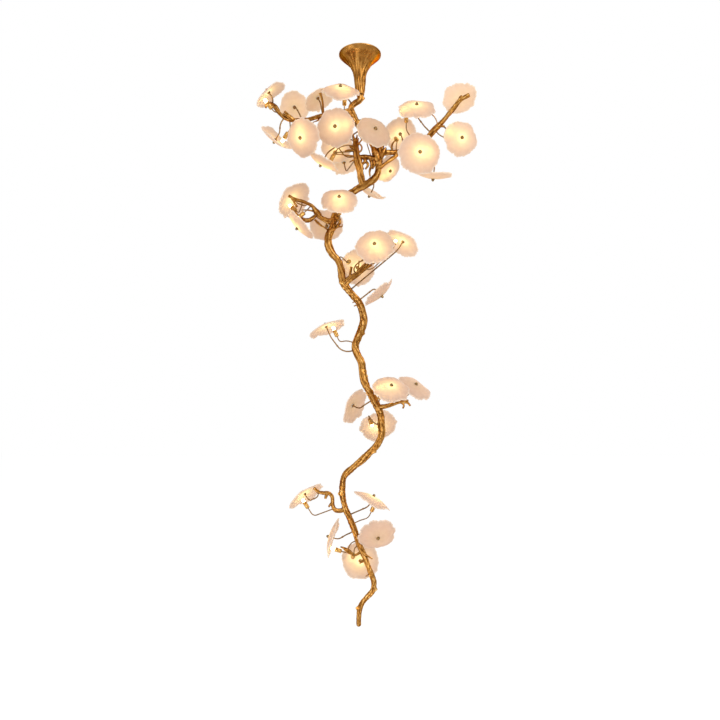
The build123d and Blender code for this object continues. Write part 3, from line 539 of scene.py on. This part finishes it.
def spin_section(name, section, steps, closed):
    """Spin a section of (radius, height) points round Z into a mesh object."""
    piece = make_object(name, [(radius, 0, height) for radius, height in section], [])
    piece.data.edges.add(len(section) if closed else len(section) - 1)
    for index, edge in enumerate(piece.data.edges):
        edge.vertices = (index, (index + 1) % len(section))
    edit_all(piece)
    bpy.ops.mesh.spin(steps=steps, angle=2 * math.pi, center=(0, 0, 0), axis=(0, 0, 1))
    bpy.ops.object.mode_set(mode="OBJECT")
    tidy_normals(piece)
    return piece


def in_metres(section, base=0.0):
    """A section given in millimetres above a base."""
    return [(radius * MM, base + height * MM) for radius, height in section]


def copies(model, matrices):
    """One copy of a turned piece, with its own mesh, at each place."""
    made = []
    for matrix in matrices:
        copy = model.copy()
        copy.data = model.data.copy()
        copy.data.transform(matrix)
        bpy.context.scene.collection.objects.link(copy)
        made.append(copy)
    discard(model)
    return made


def join_pieces(pieces, name):
    """Join pieces of one finish into one object."""
    nothing_selected()
    for piece in pieces:
        piece.select_set(True)
    bpy.context.view_layer.objects.active = pieces[0]
    bpy.ops.object.join()
    joined = bpy.context.object
    joined.name = name
    joined.data.name = name
    return joined


def finish_piece(piece, material, body, slot, *nodes):
    """Give a piece its finish, the body it moves with and the solids it stands for."""
    piece.data.materials.clear()
    piece.data.materials.append(material)
    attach(piece, body)
    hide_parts(*nodes)


# Materials


class Finish:
    """A material under way. Its methods add a node each and hand back the socket that carries its result."""

    def __init__(self, name):
        self.material = bpy.data.materials.new(name)
        self.material.use_nodes = True
        self.nodes = self.material.node_tree.nodes
        self.shader = self.nodes["Principled BSDF"]

    def give(self, node, inputs):
        """Set inputs of a node: a socket is linked, anything else is the value itself."""
        for key, value in inputs.items():
            if isinstance(value, bpy.types.NodeSocket):
                self.material.node_tree.links.new(value, node.inputs[key])
            else:
                node.inputs[key].default_value = value

    def add(self, kind, inputs, output):
        node = self.nodes.new(kind)
        self.give(node, inputs)
        return node.outputs[output]

    def attribute(self, name):
        node = self.nodes.new("ShaderNodeAttribute")
        node.attribute_name = name
        return node.outputs["Fac"]

    def noise(self, scale, detail):
        place = self.add("ShaderNodeTexCoord", {}, "Object")
        return self.add("ShaderNodeTexNoise", {"Scale": scale, "Detail": detail, "Vector": place}, "Fac")

    def spread(self, source, low, high, span=(0.25, 0.75)):
        """A value spread over a range; the usual span is where most of a noise lies."""
        limits = {"From Min": span[0], "From Max": span[1], "To Min": low, "To Max": high}
        return self.add("ShaderNodeMapRange", {"Value": source, **limits}, "Result")

    def bump(self, height, strength, distance):
        inputs = {"Strength": strength, "Distance": distance, "Height": height}
        return self.add("ShaderNodeBump", inputs, "Normal")

    def clamped_sum(self, first, second):
        node = self.nodes.new("ShaderNodeMath")
        node.operation = "ADD"
        node.use_clamp = True
        self.give(node, {0: first, 1: second})
        return node.outputs["Value"]

    def product(self, first, second):
        """One colour times another."""
        node = self.nodes.new("ShaderNodeMix")
        node.data_type = "RGBA"
        node.blend_type = "MULTIPLY"
        self.give(node, {"Factor": 1.0, "A": first, "B": second})
        return node.outputs["Result"]

    def ramp(self, source, stops):
        """Colour through the given (position, colour) stops."""
        node = self.nodes.new("ShaderNodeValToRGB")
        self.give(node, {"Fac": source})
        elements = node.color_ramp.elements
        while len(elements) < len(stops):
            elements.new(0.5)
        for element, (position, colour) in zip(elements, stops):
            element.position = position
            element.color = (*colour, 1.0)
        return node.outputs["Color"]


def gilt_bark():
    """Old gold casting with painted shade in the grooves and a painted highlight on the crests."""
    finish = Finish("gilt_bark")
    patches = finish.noise(scale=70.0, detail=4.0)
    grain = finish.noise(scale=420.0, detail=3.0)
    # Painted shade and highlight from the bark's height, shifted at random in patches
    tone = finish.clamped_sum(finish.attribute("painted_relief_light"), finish.spread(patches, low=-0.16, high=0.16))
    # Dark brown for painted shade up to pale gold for a painted highlight
    colour = finish.ramp(tone, [
        (0.0, (0.08, 0.025, 0.004)),
        (0.28, (0.22, 0.085, 0.014)),
        (0.55, (0.39, 0.18, 0.04)),
        (0.8, (0.60, 0.33, 0.10)),
        (1.0, (0.86, 0.58, 0.25)),
    ])
    finish.give(finish.shader, {
        "Base Color": colour,
        "Metallic": 1.0,
        "Specular Tint": (0.35, 0.2, 0.09, 1.0),
        "Roughness": finish.spread(patches, low=0.24, high=0.42),
        "Normal": finish.bump(grain, strength=0.35, distance=0.8 * MM),
    })
    return finish.material


def aged_brass(name, dark, light, rough_low, rough_high):
    """Turned or drawn brass with a mottled, slightly worn lacquer."""
    finish = Finish(name)
    patches = finish.noise(scale=160.0, detail=4.0)
    finish.give(finish.shader, {
        "Base Color": finish.ramp(patches, [(0.3, dark), (0.7, light)]),
        "Metallic": 1.0,
        "Roughness": finish.spread(patches, rough_low, rough_high),
    })
    return finish.material


def plain_finish(name, dark, light, scale, roughness, metallic=0.0):
    """Mottled finish of the small fittings."""
    finish = Finish(name)
    patches = finish.noise(scale, detail=3.0)
    finish.give(finish.shader, {
        "Base Color": finish.ramp(patches, [(0.35, dark), (0.65, light)]),
        "Metallic": metallic,
        "Roughness": roughness,
        "Normal": finish.bump(patches, strength=0.15, distance=0.3 * MM),
    })
    return finish.material


def frosted_glass():
    """Peach frosted glass, paler at the rim, that lets some light through, with a painted glow, as emission,
    strongest where a lamp stands behind it.
    """
    finish = Finish("frosted_glass")
    rim = finish.attribute("rim")
    painted_glow = finish.attribute("painted_glow")
    clouds = finish.noise(scale=75.0, detail=5.0)
    frost = finish.noise(scale=260.0, detail=4.0)
    veil = finish.ramp(clouds, [(0.3, (0.95, 0.92, 0.90)), (0.7, (1.0, 1.0, 1.0))])
    tint = finish.ramp(rim, [
        (0.0, (0.78, 0.64, 0.57)),
        (0.75, (0.77, 0.63, 0.57)),
        (0.93, (0.66, 0.56, 0.51)),
        (1.0, (0.85, 0.79, 0.73)),
    ])
    warm = finish.ramp(rim, [
        (0.0, (0.87, 0.73, 0.52)),
        (0.6, (0.86, 0.71, 0.56)),
        (0.9, (0.84, 0.70, 0.58)),
        (1.0, (0.90, 0.82, 0.73)),
    ])
    finish.give(finish.shader, {
        "Base Color": finish.product(tint, veil),
        "Specular IOR Level": 0.3,
        "Roughness": finish.spread(frost, low=0.45, high=0.6),
        "Emission Color": (1.0, 0.79, 0.35, 1.0),
        "Emission Strength": finish.spread(painted_glow, low=0.0, high=GLOW_STRENGTH, span=FULL_RANGE),
    })
    # The painted glow shows in the glass itself, as emission not sampled as a light; the bulbs light what is
    # round them
    finish.material.cycles.emission_sampling = "NONE"
    through = finish.add("ShaderNodeBsdfTranslucent", {"Color": finish.product(warm, veil)}, "BSDF")
    mix = {"Fac": 0.75, 1: finish.shader.outputs["BSDF"], 2: through}
    surface = finish.add("ShaderNodeMixShader", mix, "Shader")
    finish.give(finish.nodes["Material Output"], {"Surface": surface})
    return finish.material


def lit_bulb():
    """Frosted capsule bulb, lit."""
    finish = Finish("lit_bulb")
    frost = finish.noise(scale=300.0, detail=2.0)
    finish.give(finish.shader, {
        "Base Color": (1.0, 0.93, 0.8, 1.0),
        "Roughness": 0.3,
        "Emission Color": finish.ramp(frost, [(0.3, (1.0, 0.88, 0.38)), (0.7, (1.0, 0.93, 0.46))]),
        "Emission Strength": 14.0,
    })
    return finish.material


gilt = gilt_bark()
rod_brass = aged_brass("rod_brass", (0.14, 0.07, 0.02), (0.36, 0.20, 0.07), rough_low=0.28, rough_high=0.45)
cup_brass = aged_brass("cup_brass", (0.40, 0.21, 0.05), (0.66, 0.38, 0.12), rough_low=0.22, rough_high=0.36)
nut_brass = aged_brass("nut_brass", (0.12, 0.07, 0.025), (0.36, 0.23, 0.10), rough_low=0.18, rough_high=0.32)
zinc = plain_finish(
    "zinc_plate", (0.40, 0.41, 0.42), (0.58, 0.59, 0.60), scale=90.0, roughness=0.35, metallic=1.0
)
block_plastic = plain_finish(
    "block_plastic", (0.72, 0.70, 0.64), (0.80, 0.78, 0.72), scale=200.0, roughness=0.5
)
ceramic = plain_finish("ceramic", (0.78, 0.75, 0.69), (0.85, 0.82, 0.76), scale=240.0, roughness=0.6)
silicone = plain_finish("silicone", (0.62, 0.59, 0.55), (0.70, 0.67, 0.62), scale=180.0, roughness=0.7)
glass = frosted_glass()
bulb_light = lit_bulb()


# Centre lines


def smooth_line(route):
    """Evenly spaced points on a smooth curve through a route, with the length up to each."""
    curve, points = new_curve(len(route))
    for point, place in zip(points, route):
        point.co = Vector(place) * MM
        point.handle_left_type = "AUTO"
        point.handle_right_type = "AUTO"
    curve.data.resolution_u = LINE_STEPS
    bpy.ops.object.convert(target="MESH")
    line = read_places(curve)
    discard(curve)
    runs = np.linalg.norm(np.diff(line, axis=0), axis=1)
    lengths = np.concatenate(([0.0], np.cumsum(runs)))
    count = max(LEAST_RINGS, round(lengths[-1] / RING_STEP) + 1)
    along = np.linspace(0.0, lengths[-1], count)
    return np.stack([np.interp(along, lengths, line[:, axis]) for axis in range(3)], axis=1), along


def line_frames(line):
    """Direction of a line at each point and two directions across it, turned no more than they must be."""
    tangents = np.gradient(line, axis=0)
    tangents /= np.linalg.norm(tangents, axis=1)[:, None]
    guide = np.array(UP if abs(tangents[0][2]) < STEEP else SIDE)
    across = np.cross(guide, tangents[0])
    across /= np.linalg.norm(across)
    firsts = [across]
    for last, tangent in zip(tangents, tangents[1:]):
        across = across - (last + tangent) * (across @ tangent) / (1 + last @ tangent)
        firsts.append(across / np.linalg.norm(across))
    firsts = np.array(firsts)
    return tangents, firsts, np.cross(tangents, firsts)


def station(limb, share):
    """Centre point, direction and radius of a limb at a share of its length."""
    root, tip, route = LIMBS[limb]
    points = [Vector(point) * MM for point in route]
    runs = [(second - first).length for first, second in zip(points, points[1:])]
    left = share * sum(runs)
    index = 0
    while left > runs[index] and index < len(runs) - 1:
        left -= runs[index]
        index += 1
    direction = (points[index + 1] - points[index]).normalized()
    return points[index] + direction * left, direction, (root + (tip - root) * share) * MM


# Bark


def wrapped_place(turn, along, paces, shift=(0.0, 0.0)):
    """Place in a field of noise, wrapped round a limb so that the pattern meets itself."""
    across, pace = paces
    return Vector((across * math.cos(turn) + shift[0], across * math.sin(turn) + shift[1], pace * along))


def bark_height(angle, along, shift):
    """Height of the bark as a share of the radius, and its tone of painted shade and highlight, at an angle
    round a limb.

    Twisted strands with sharp valleys between them carry patches of scales with cracks between those.
    """
    turn = angle + BARK_TWIST * along
    warp = noise.noise(wrapped_place(turn, along, WARP_PACE, (shift, 0.0)))
    strand = abs(math.sin(STRANDS / 2 * turn + WARP * warp)) - STRAND_LEVEL
    near, far = noise.voronoi(wrapped_place(turn, along, SCALE_PACE, (0.0, shift)))[0][:2]
    patch = noise.noise(wrapped_place(turn, along, PATCH_PACE, (0.0, shift)))
    crowd = clamp(PATCH_LEVEL + PATCH_GAIN * patch, PATCH_LIMITS)
    scale = (min(1.0, (far - near) / SCALE_CRACK) - SCALE_LEVEL) * crowd
    height = STRAND_DEPTH * strand + SCALE_DEPTH * scale
    return height, BARK_TONE + STRAND_TONE * strand + SCALE_TONE * scale


def raise_knots(place, painted_relief_light, knots):
    """Lift a point of the bark where it is near a knot, and brighten it with a painted highlight."""
    for knot, way in knots:
        gap = np.linalg.norm(place - knot) / KNOT_SPREAD
        if gap < KNOT_REACH:
            lift = math.exp(-gap * gap)
            place = place + way * KNOT_HEIGHT * lift
            painted_relief_light = clamp(painted_relief_light + KNOT_HIGHLIGHT * lift, FULL_RANGE)
    return place, painted_relief_light


class Casting:
    """Points, faces and painted shade and highlight of one cast piece, gathered tube by tube."""

    def __init__(self, name):
        self.name = name
        self.points = []
        self.faces = []
        self.painted_relief_light = []

    def tube(self, line, along, radii, around, shift, knots=()):
        """A closed bark tube along a line."""
        tangents, firsts, seconds = line_frames(line)
        start = len(self.points)
        for index, centre in enumerate(line):
            swell = 1 + SWELL_DEPTH * noise.noise(Vector((SWELL_PACE * along[index], shift, SWELL_ROW)))
            for step in range(around):
                angle = 2 * math.pi * step / around
                outward = firsts[index] * math.cos(angle) + seconds[index] * math.sin(angle)
                height, tone = bark_height(angle, along[index], shift)
                place = centre + outward * (radii[index] * swell * (1 + height))
                place, painted_relief_light = raise_knots(place, clamp(tone, FULL_RANGE), knots)
                self.points.append(place)
                self.painted_relief_light.append(painted_relief_light)
        end = start + (len(line) - 1) * around
        for near in range(start, end, around):
            far = near + around
            for step in range(around):
                after = (step + 1) % around
                self.faces.append((near + step, near + after, far + after, far + step))
        for rim, ring, way in ((start, 0, 1), (end, -1, -1)):
            middle = len(self.points)
            self.points.append(line[ring] + tangents[ring] * way * radii[ring] * END_DISH)
            self.painted_relief_light.append(END_TONE)
            for step in range(around):
                after = (step + 1) % around
                self.faces.append((middle, *(rim + after, rim + step)[::way]))

    def make(self):
        """The finished casting, in place of its plain solid."""
        piece = make_object(self.name, self.points, self.faces)
        # Painted shade and highlight, kept per point for the material
        give_attribute(piece, "painted_relief_light", self.painted_relief_light)
        piece.data.shade_smooth()
        finish_piece(piece, gilt, "frame", "cast_brass", self.name)


# Trunk: one smooth line, cut where its three lengths meet
trunk_line, trunk_along = smooth_line(TRUNK_TOP + TRUNK_MIDDLE[1:] + TRUNK_FOOT[1:])
cuts = [0]
for name in TRUNK_ORDER[:-1]:
    joint_place = np.array(LIMBS[name][2][-1]) * MM
    cuts.append(int(np.argmin(np.linalg.norm(trunk_line - joint_place, axis=1))))
cuts.append(len(trunk_line) - 1)
limb_lines = {}
for name, first, last in zip(TRUNK_ORDER, cuts, cuts[1:]):
    limb_lines[name] = (trunk_line[first:last + 1], trunk_along[first:last + 1])

# Trunk lengths and branches
castings = {}
for number, (name, (root, tip, route)) in enumerate(LIMBS.items()):
    is_trunk = name in TRUNK_ORDER
    line, along = limb_lines[name] if is_trunk else smooth_line(route)
    share = (along - along[0]) / (along[-1] - along[0])
    radii = (root + (tip - root) * share) * MM
    if not is_trunk:
        radii = radii * (1 + ROOT_FLARE * np.exp(-along / ROOT_FLARE_LENGTH))
    knots = []
    for limb, knot_share, way in KNOTS:
        if limb == name:
            point, _, radius = station(limb, knot_share)
            way = Vector(way).normalized()
            knots.append((np.array(point + way * radius), np.array(way)))
    casting = Casting(name)
    around = TRUNK_AROUND if is_trunk else BRANCH_AROUND
    casting.tube(line, along, radii, around, 0.0 if is_trunk else LIMB_SHIFT * number, knots)
    castings[name] = casting

# Twigs, cast in one with their limbs
for number, (name, routes) in enumerate(TWIGS.items()):
    for twig, route in enumerate(routes):
        line, along = smooth_line([point[:3] for point in route])
        marks = np.linspace(0.0, along[-1], len(route))
        radii = np.interp(along, marks, [point[3] * MM for point in route])
        shift = TWIG_SHIFT * number + NEXT_TWIG_SHIFT * twig
        castings[name].tube(line, along, radii, TWIG_AROUND, shift)

for casting in castings.values():
    casting.make()


# Canopy


def canopy_outline():
    """Points (radius, height) of the whole section, from the bore at the foot round to the bore inside."""
    depths, radii = zip(*CANOPY_FLARE)
    outline = [(CANOPY_BORE, depths[-1] * MM)]
    for depth in np.linspace(depths[-1], depths[0], CANOPY_RINGS):
        outline.append((float(np.interp(depth, depths, radii)) * MM, float(depth) * MM))
    outline.append((CANOPY_RADIUS - CANOPY_EDGE, CANOPY_RIM))
    outline.append((CANOPY_RADIUS, CANOPY_RIM - CANOPY_EDGE))
    outline.append((CANOPY_RADIUS, CANOPY_EDGE))
    outline.append((CANOPY_RADIUS - CANOPY_EDGE, 0.0))
    for depth, radius in reversed(CANOPY_HOLLOW):
        outline.append((radius * MM, depth * MM))
    outline.append((CANOPY_BORE, (CANOPY_HOLLOW[0][0] + CANOPY_FLOOR) * MM))
    return [(radius, -depth) for radius, depth in outline]


def make_canopy():
    """A flared casting whose root-like ribs deepen towards the neck."""
    piece = spin_section("canopy_dress", canopy_outline(), CANOPY_AROUND, True)
    places = read_places(piece)
    painted_relief_light = np.full(len(places), HOLLOW_TONE)
    flare_depths, flare_radii = np.array(CANOPY_FLARE).T * MM
    for index, (x, y, z) in enumerate(places):
        radius = math.hypot(x, y)
        depth = -z
        # A painted highlight line round the rim
        if radius > CANOPY_RADIUS - RIM_BAND:
            painted_relief_light[index] = RIM_HIGHLIGHT
        if depth < PLAIN_DEPTH or radius < np.interp(depth, flare_depths, flare_radii) - SKIN_DEPTH:
            continue
        strength = clamp((depth - CANOPY_RIM) / RIB_FADE, FULL_RANGE)
        turn = math.atan2(y, x) + RIB_TWIST * depth
        rib = noise.noise(wrapped_place(turn, depth, RIB_PACE))
        crinkle = noise.noise(wrapped_place(turn, depth, CRINKLE_PACE))
        height = RIB_DEPTH * (RIB_LEVEL - RIB_VALLEY * abs(rib)) + CRINKLE_DEPTH * crinkle
        # Painted shade in the valleys of the ribs, a painted highlight on their crests
        painted_relief_light[index] = clamp(RIB_TONE + RIB_HIGHLIGHT * height * strength, FULL_RANGE)
        grow = 1 + height * strength * (1 + depth / RIB_GROWTH)
        places[index] = (x * grow, y * grow, z)
    move_places(piece, places)
    give_attribute(piece, "painted_relief_light", painted_relief_light)
    piece.data.shade_smooth()
    finish_piece(piece, gilt, "frame", "cast_brass", "canopy")


make_canopy()


# Glass flowers


def flower_matrix(joint):
    """Frame with its origin on the glass and Z along the post."""
    axis = Vector(joint["axis"]).normalized()
    guide = UP if abs(axis.z) < STEEP else SIDE
    first = guide.cross(axis).normalized()
    matrix = Matrix((first, axis.cross(first), axis)).transposed().to_4x4()
    matrix.translation = Vector(joint["pos_m"])
    return matrix


joints = {joint["child"]: joint for joint in frame["joints"]}
flower_names = sorted(joints)
flower_frames = [flower_matrix(joints[name]) for name in flower_names]


def flower_blank():
    """A flat ring whose radius runs from 0 to 1 over the glass and whose height tells front from back."""
    steps = np.linspace(0.0, 1.0, FLOWER_RINGS + 1)
    front = [(BLANK_HOLE + BLANK_FACE * (1 - (1 - step) ** RING_CROWDING), 0.0) for step in steps]
    back = [(radius, 1.0) for radius, height in reversed(front)]
    return spin_section("flower_blank", front + BLANK_EDGE + back, FLOWER_AROUND, True)


def pleat_turn(index, angles):
    """Turn of the pleats at each angle: more crowded here, less there."""
    return PLEATS * angles + PLEAT_DRIFT * np.sin(PLEAT_DRIFT_TURNS * angles + index)


def lobed_rim(index, radius, angles):
    """Radius of the rim at each angle: uneven lobes with notches between them, nipped all round."""
    lobes = LOBES + index % LOBE_CHOICES
    numbers = np.arange(lobes)
    notch_angles = 360 * numbers / lobes + LOBE_SHIFT * np.sin(LOBE_SHIFT_PACE * numbers + index)
    depths = NOTCH * (1 + NOTCH_SPREAD * np.sin(NOTCH_PACE * numbers + 2 * index))
    crests = 1 - LOBE_SWELL - LOBE_SWELL * np.sin(LOBE_PACE * numbers + index)
    turned = (np.degrees(angles) - notch_angles[0]) % 360
    bounds = np.append(notch_angles - notch_angles[0], 360.0)
    lobe = np.clip(np.searchsorted(bounds, turned, side="right") - 1, 0, lobes - 1)
    share = (turned - bounds[lobe]) / (bounds[lobe + 1] - bounds[lobe])
    near = 1 - depths[lobe]
    far = 1 - depths[(lobe + 1) % lobes]
    level = near + (far - near) * share
    rise = (crests[lobe] - (near + far) / 2) * (1 - (2 * share - 1) ** 2)
    nips = PLEAT_NIP * np.abs(np.sin(pleat_turn(index, angles) / 2))
    return radius * (level + rise - nips)


def glass_height(index, share, angles, slope):
    """Height of the front of the glass: a dome with a wavy, finely pleated rim."""
    wave = np.sin(WAVE_TURNS * angles + index)
    wave += SIDE_WAVE * np.sin(SIDE_WAVE_TURNS * angles + SIDE_WAVE_SHIFT * index)
    pleat = np.sin(pleat_turn(index, angles)) * np.clip((share - PLEAT_START) / (1 - PLEAT_START), 0, 1) ** 2
    height = -DOME * slope ** DOME_POWER
    height += RIM_WAVE * wave * share ** WAVE_POWER / (1 + SIDE_WAVE)
    return height + PLEAT_DEPTH * pleat


def glass_glow(index, share):
    """Painted glow of the glass, as emission: a bright core and a halo over a lamp, or a faint even glow in
    the crown for the light of neighbouring lamps.
    """
    if STEMS[index][2] is None:
        in_crown = joints[flower_names[index]]["pos_m"][2] > CROWN_FLOOR
        return np.full(len(share), CROWN_GLOW if in_crown else 0.0)
    halo = HALO_SHARE * np.exp(-(share / GLOW_HALO) ** 2)
    core = (1 - HALO_SHARE) * np.exp(-(share / GLOW_CORE) ** 2)
    return halo + core


def make_flower(index, blank):
    """A copy of the blank, shaped into one domed and lobed disc on its post."""
    name = flower_names[index]
    radius = FLOWER_SIZES[index] * MM / 2
    piece = blank.copy()
    piece.data = blank.data.copy()
    piece.name = f"{name}_glass"
    piece.data.name = piece.name
    bpy.context.scene.collection.objects.link(piece)
    flat = read_places(piece)
    share = np.hypot(flat[:, 0], flat[:, 1])
    angles = np.arctan2(flat[:, 1], flat[:, 0])
    reach = HOLE_RADIUS + (lobed_rim(index, radius, angles) - HOLE_RADIUS) * share
    slope = np.clip((reach - PAD_RADIUS) / (radius - PAD_RADIUS), 0, None)
    thickness = GLASS + (GLASS_RIM - GLASS) * share
    height = glass_height(index, share, angles, slope) - thickness * flat[:, 2]
    places = np.stack([reach * np.cos(angles), reach * np.sin(angles), height], axis=1)
    matrix = np.array(flower_frames[index])
    move_places(piece, places @ matrix[:3, :3].T + matrix[:3, 3])
    give_attribute(piece, "rim", share)
    # A painted glow over the lamp, kept per point for the material
    give_attribute(piece, "painted_glow", glass_glow(index, share))
    piece.data.shade_smooth()
    finish_piece(piece, glass, name, "flower_glass", name)


blank = flower_blank()
for index in range(len(flower_names)):
    make_flower(index, blank)
discard(blank)


# Wires


def rod_route(limb, share, place, height):
    """Corner points of a rod that leaves a limb square to it and ends at a height on the axis of a place.

    The length that lies inside the limb comes with them.
    """
    start, direction, radius = station(limb, share)
    heading = place.to_3x3() @ UP
    end = place @ Vector((0, 0, height))
    reach = (end - start).length
    shoulder = end - heading * clamp(TAIL_SHARE * reach, TAIL_LIMITS)
    across = shoulder - start
    outward = (across - direction * across.dot(direction)).normalized()
    lead = radius + clamp(LEAD_SHARE * reach, LEAD_LIMITS)
    return [start, start + outward * lead, shoulder, end], radius * BURIED_SHARE


def bent_corners(corners):
    """Corner points without those that hardly turn."""
    kept = [corners[0]]
    for corner, after in zip(corners[1:], corners[2:]):
        if (corner - kept[-1]).angle(after - corner) > STRAIGHT_TURN:
            kept.append(corner)
    return kept + [corners[-1]]


def wire_knots(corners, buried):
    """Points of a wire where its straight runs meet its bends, each with the grip behind and ahead of it."""
    kept = bent_corners(corners)
    runs = [(second - first).length for first, second in zip(kept, kept[1:])]
    runs[0] = (runs[0] - buried) * LEAD_BEND
    knots = [(kept[0], Vector(), (kept[1] - kept[0]) * END_GRIP)]
    for index in range(1, len(kept) - 1):
        before, corner, after = kept[index - 1:index + 2]
        into = (corner - before).normalized()
        away = (after - corner).normalized()
        turn = into.angle(away)
        room = BEND_SHARE * min(runs[index - 1], runs[index])
        bend = min(BEND_LIMIT, room / math.tan(turn / 2))
        trim = bend * math.tan(turn / 2)
        # Grip that makes the bend a round arc
        grip = 4 / 3 * math.tan(turn / 4) * bend
        knots.append((corner - into * trim, -into * trim * STRAIGHT_GRIP, into * grip))
        knots.append((corner + away * trim, -away * grip, away * trim * STRAIGHT_GRIP))
    knots.append((kept[-1], (kept[-2] - kept[-1]) * END_GRIP, Vector()))
    return knots


def bent_wire(name, corners, buried, radius, swell):
    """A wire along straight runs joined by arcs, a little thicker where it leaves its limb."""
    knots = wire_knots(corners, buried)
    wire, points = new_curve(len(knots))
    wire.name = name
    for index, (point, (place, back, ahead)) in enumerate(zip(points, knots)):
        point.handle_left_type = "FREE"
        point.handle_right_type = "FREE"
        point.co = place
        point.handle_left = place + back
        point.handle_right = place + ahead
        point.radius = 1 + swell * (1 - index / (len(knots) - 1))
    wire.data.bevel_depth = radius
    wire.data.bevel_resolution = WIRE_ROUNDING
    wire.data.resolution_u = WIRE_STEPS
    wire.data.use_fill_caps = True
    bpy.ops.object.convert(target="MESH")
    return wire


# Flower stems, each with its collar, its post and, on a long run, a bud
stem_wires = []
bud_places = []
for place, (limb, share, _) in zip(flower_frames, STEMS):
    route, buried = rod_route(limb, share, place, STEM_TOP)
    stem_wires.append(bent_wire("flower_stem", route, buried, STEM_RADIUS, STEM_SWELL))
    run = route[2] - route[1]
    if run.length > BUD_RUN:
        bud_place = run.to_track_quat("Z", "Y").to_matrix().to_4x4()
        bud_place.translation = route[1] + run * BUD_SHARE
        bud_places.append(bud_place)
collars = copies(spin_section("collar", COLLAR_SECTION, COLLAR_AROUND, False), flower_frames)
buds = copies(spin_section("bud", in_metres(BUD_SECTION), BUD_AROUND, False), bud_places)
stems = join_pieces(stem_wires + collars + buds, "stem_dress")
stems.data.shade_smooth()
finish_piece(stems, rod_brass, "frame", "rod_brass", "flower_stems")


# Lamp arms


def lamp_matrix(place, size, angle, offset):
    """Frame with its origin at the tip of the bulb behind a flower."""
    swing = math.radians(angle)
    sag = DOME * (2 * offset / size) ** 2
    tip = Vector((offset * math.cos(swing), offset * math.sin(swing), -GLASS - sag - BULB_CLEARANCE))
    matrix = place.copy()
    matrix.translation = place @ tip
    return matrix


arm_wires = []
lamp_frames = []
for flower_place, size, (_, _, lamp) in zip(flower_frames, FLOWER_SIZES, STEMS):
    if lamp is not None:
        angle, offset, limb, share = lamp
        place = lamp_matrix(flower_place, size * MM, angle, offset * MM)
        route, buried = rod_route(limb, share, place, HOLDER_BASE)
        arm_wires.append(bent_wire("lamp_arm", route, buried, ARM_RADIUS, ARM_SWELL))
        lamp_frames.append(place)
arms = join_pieces(arm_wires, "lamp_arm_dress")
arms.data.shade_smooth()
finish_piece(arms, rod_brass, "frame", "rod_brass", "lamp_arms")

# Cap nuts
nut = spin_section("nut", in_metres(NUT_SECTION), NUT_AROUND, False)
cap_nuts = join_pieces(copies(nut, flower_frames), "cap_nut_dress")
finish_piece(cap_nuts, nut_brass, "frame", "cup_brass", "cap_nuts")

# Lampholders
holder = spin_section("holder", in_metres(HOLDER_SECTION, HOLDER_BASE), HOLDER_AROUND, True)
holders = join_pieces(copies(holder, lamp_frames), "lampholder_dress")
finish_piece(holders, cup_brass, "frame", "cup_brass", "lamp_holders")

# Fittings whose solids show as they are
FITTINGS = {
    "bulbs": bulb_light,
    "lamp_sockets": ceramic,
    "seat_washers": silicone,
    "ceiling_bracket": zinc,
    "hanger_nipple": zinc,
    "hanger_nuts": zinc,
    "trunk_dowels": zinc,
    "terminal_block": block_plastic,
}
for name, material in FITTINGS.items():
    node = frame["nodes"][name]
    node.data.materials.clear()
    node.data.materials.append(material)


# Room and light


def white_stage(name, size, centre):
    """A floor that is as white as the room, so that no horizon shows."""
    nothing_selected()
    bpy.ops.mesh.primitive_plane_add(size=size, location=centre)
    plane = bpy.context.object
    plane.name = name
    finish = Finish(name)
    white = {"Base Color": (1.0, 1.0, 1.0, 1.0), "Roughness": 1.0, "Specular IOR Level": 0.0}
    finish.give(finish.shader, white)
    plane.data.materials.append(finish.material)


def soft_box(name, place, target, size, power):
    """A rectangular lamp that faces its target."""
    lamp = bpy.data.lights.new(name, "AREA")
    lamp.shape = "RECTANGLE"
    lamp.size, lamp.size_y = size
    lamp.energy = power
    light = bpy.data.objects.new(name, lamp)
    light.location = place
    light.rotation_euler = (Vector(target) - Vector(place)).to_track_quat("-Z", "Y").to_euler()
    bpy.context.scene.collection.objects.link(light)


white_stage("pale_floor", FLOOR_SIZE, FLOOR_CENTRE)
for name, (place, target, size, power) in LIGHTS.items():
    soft_box(name, place, target, size, power)

world = bpy.data.worlds.new("studio")
bpy.context.scene.world = world
world.use_nodes = True
background = world.node_tree.nodes["Background"]
background.inputs["Color"].default_value = (1.0, 1.0, 1.0, 1.0)
background.inputs["Strength"].default_value = 1.0

camera_data = bpy.data.cameras.new("camera")
camera_data.lens = CAMERA_LENS
camera_data.sensor_width = CAMERA_SENSOR
camera = bpy.data.objects.new("camera", camera_data)
camera.location = CAMERA_PLACE
camera.rotation_euler = (math.pi / 2, 0, 0)
bpy.context.scene.collection.objects.link(camera)
bpy.context.scene.camera = camera
bpy.context.scene.view_settings.view_transform = "Standard"
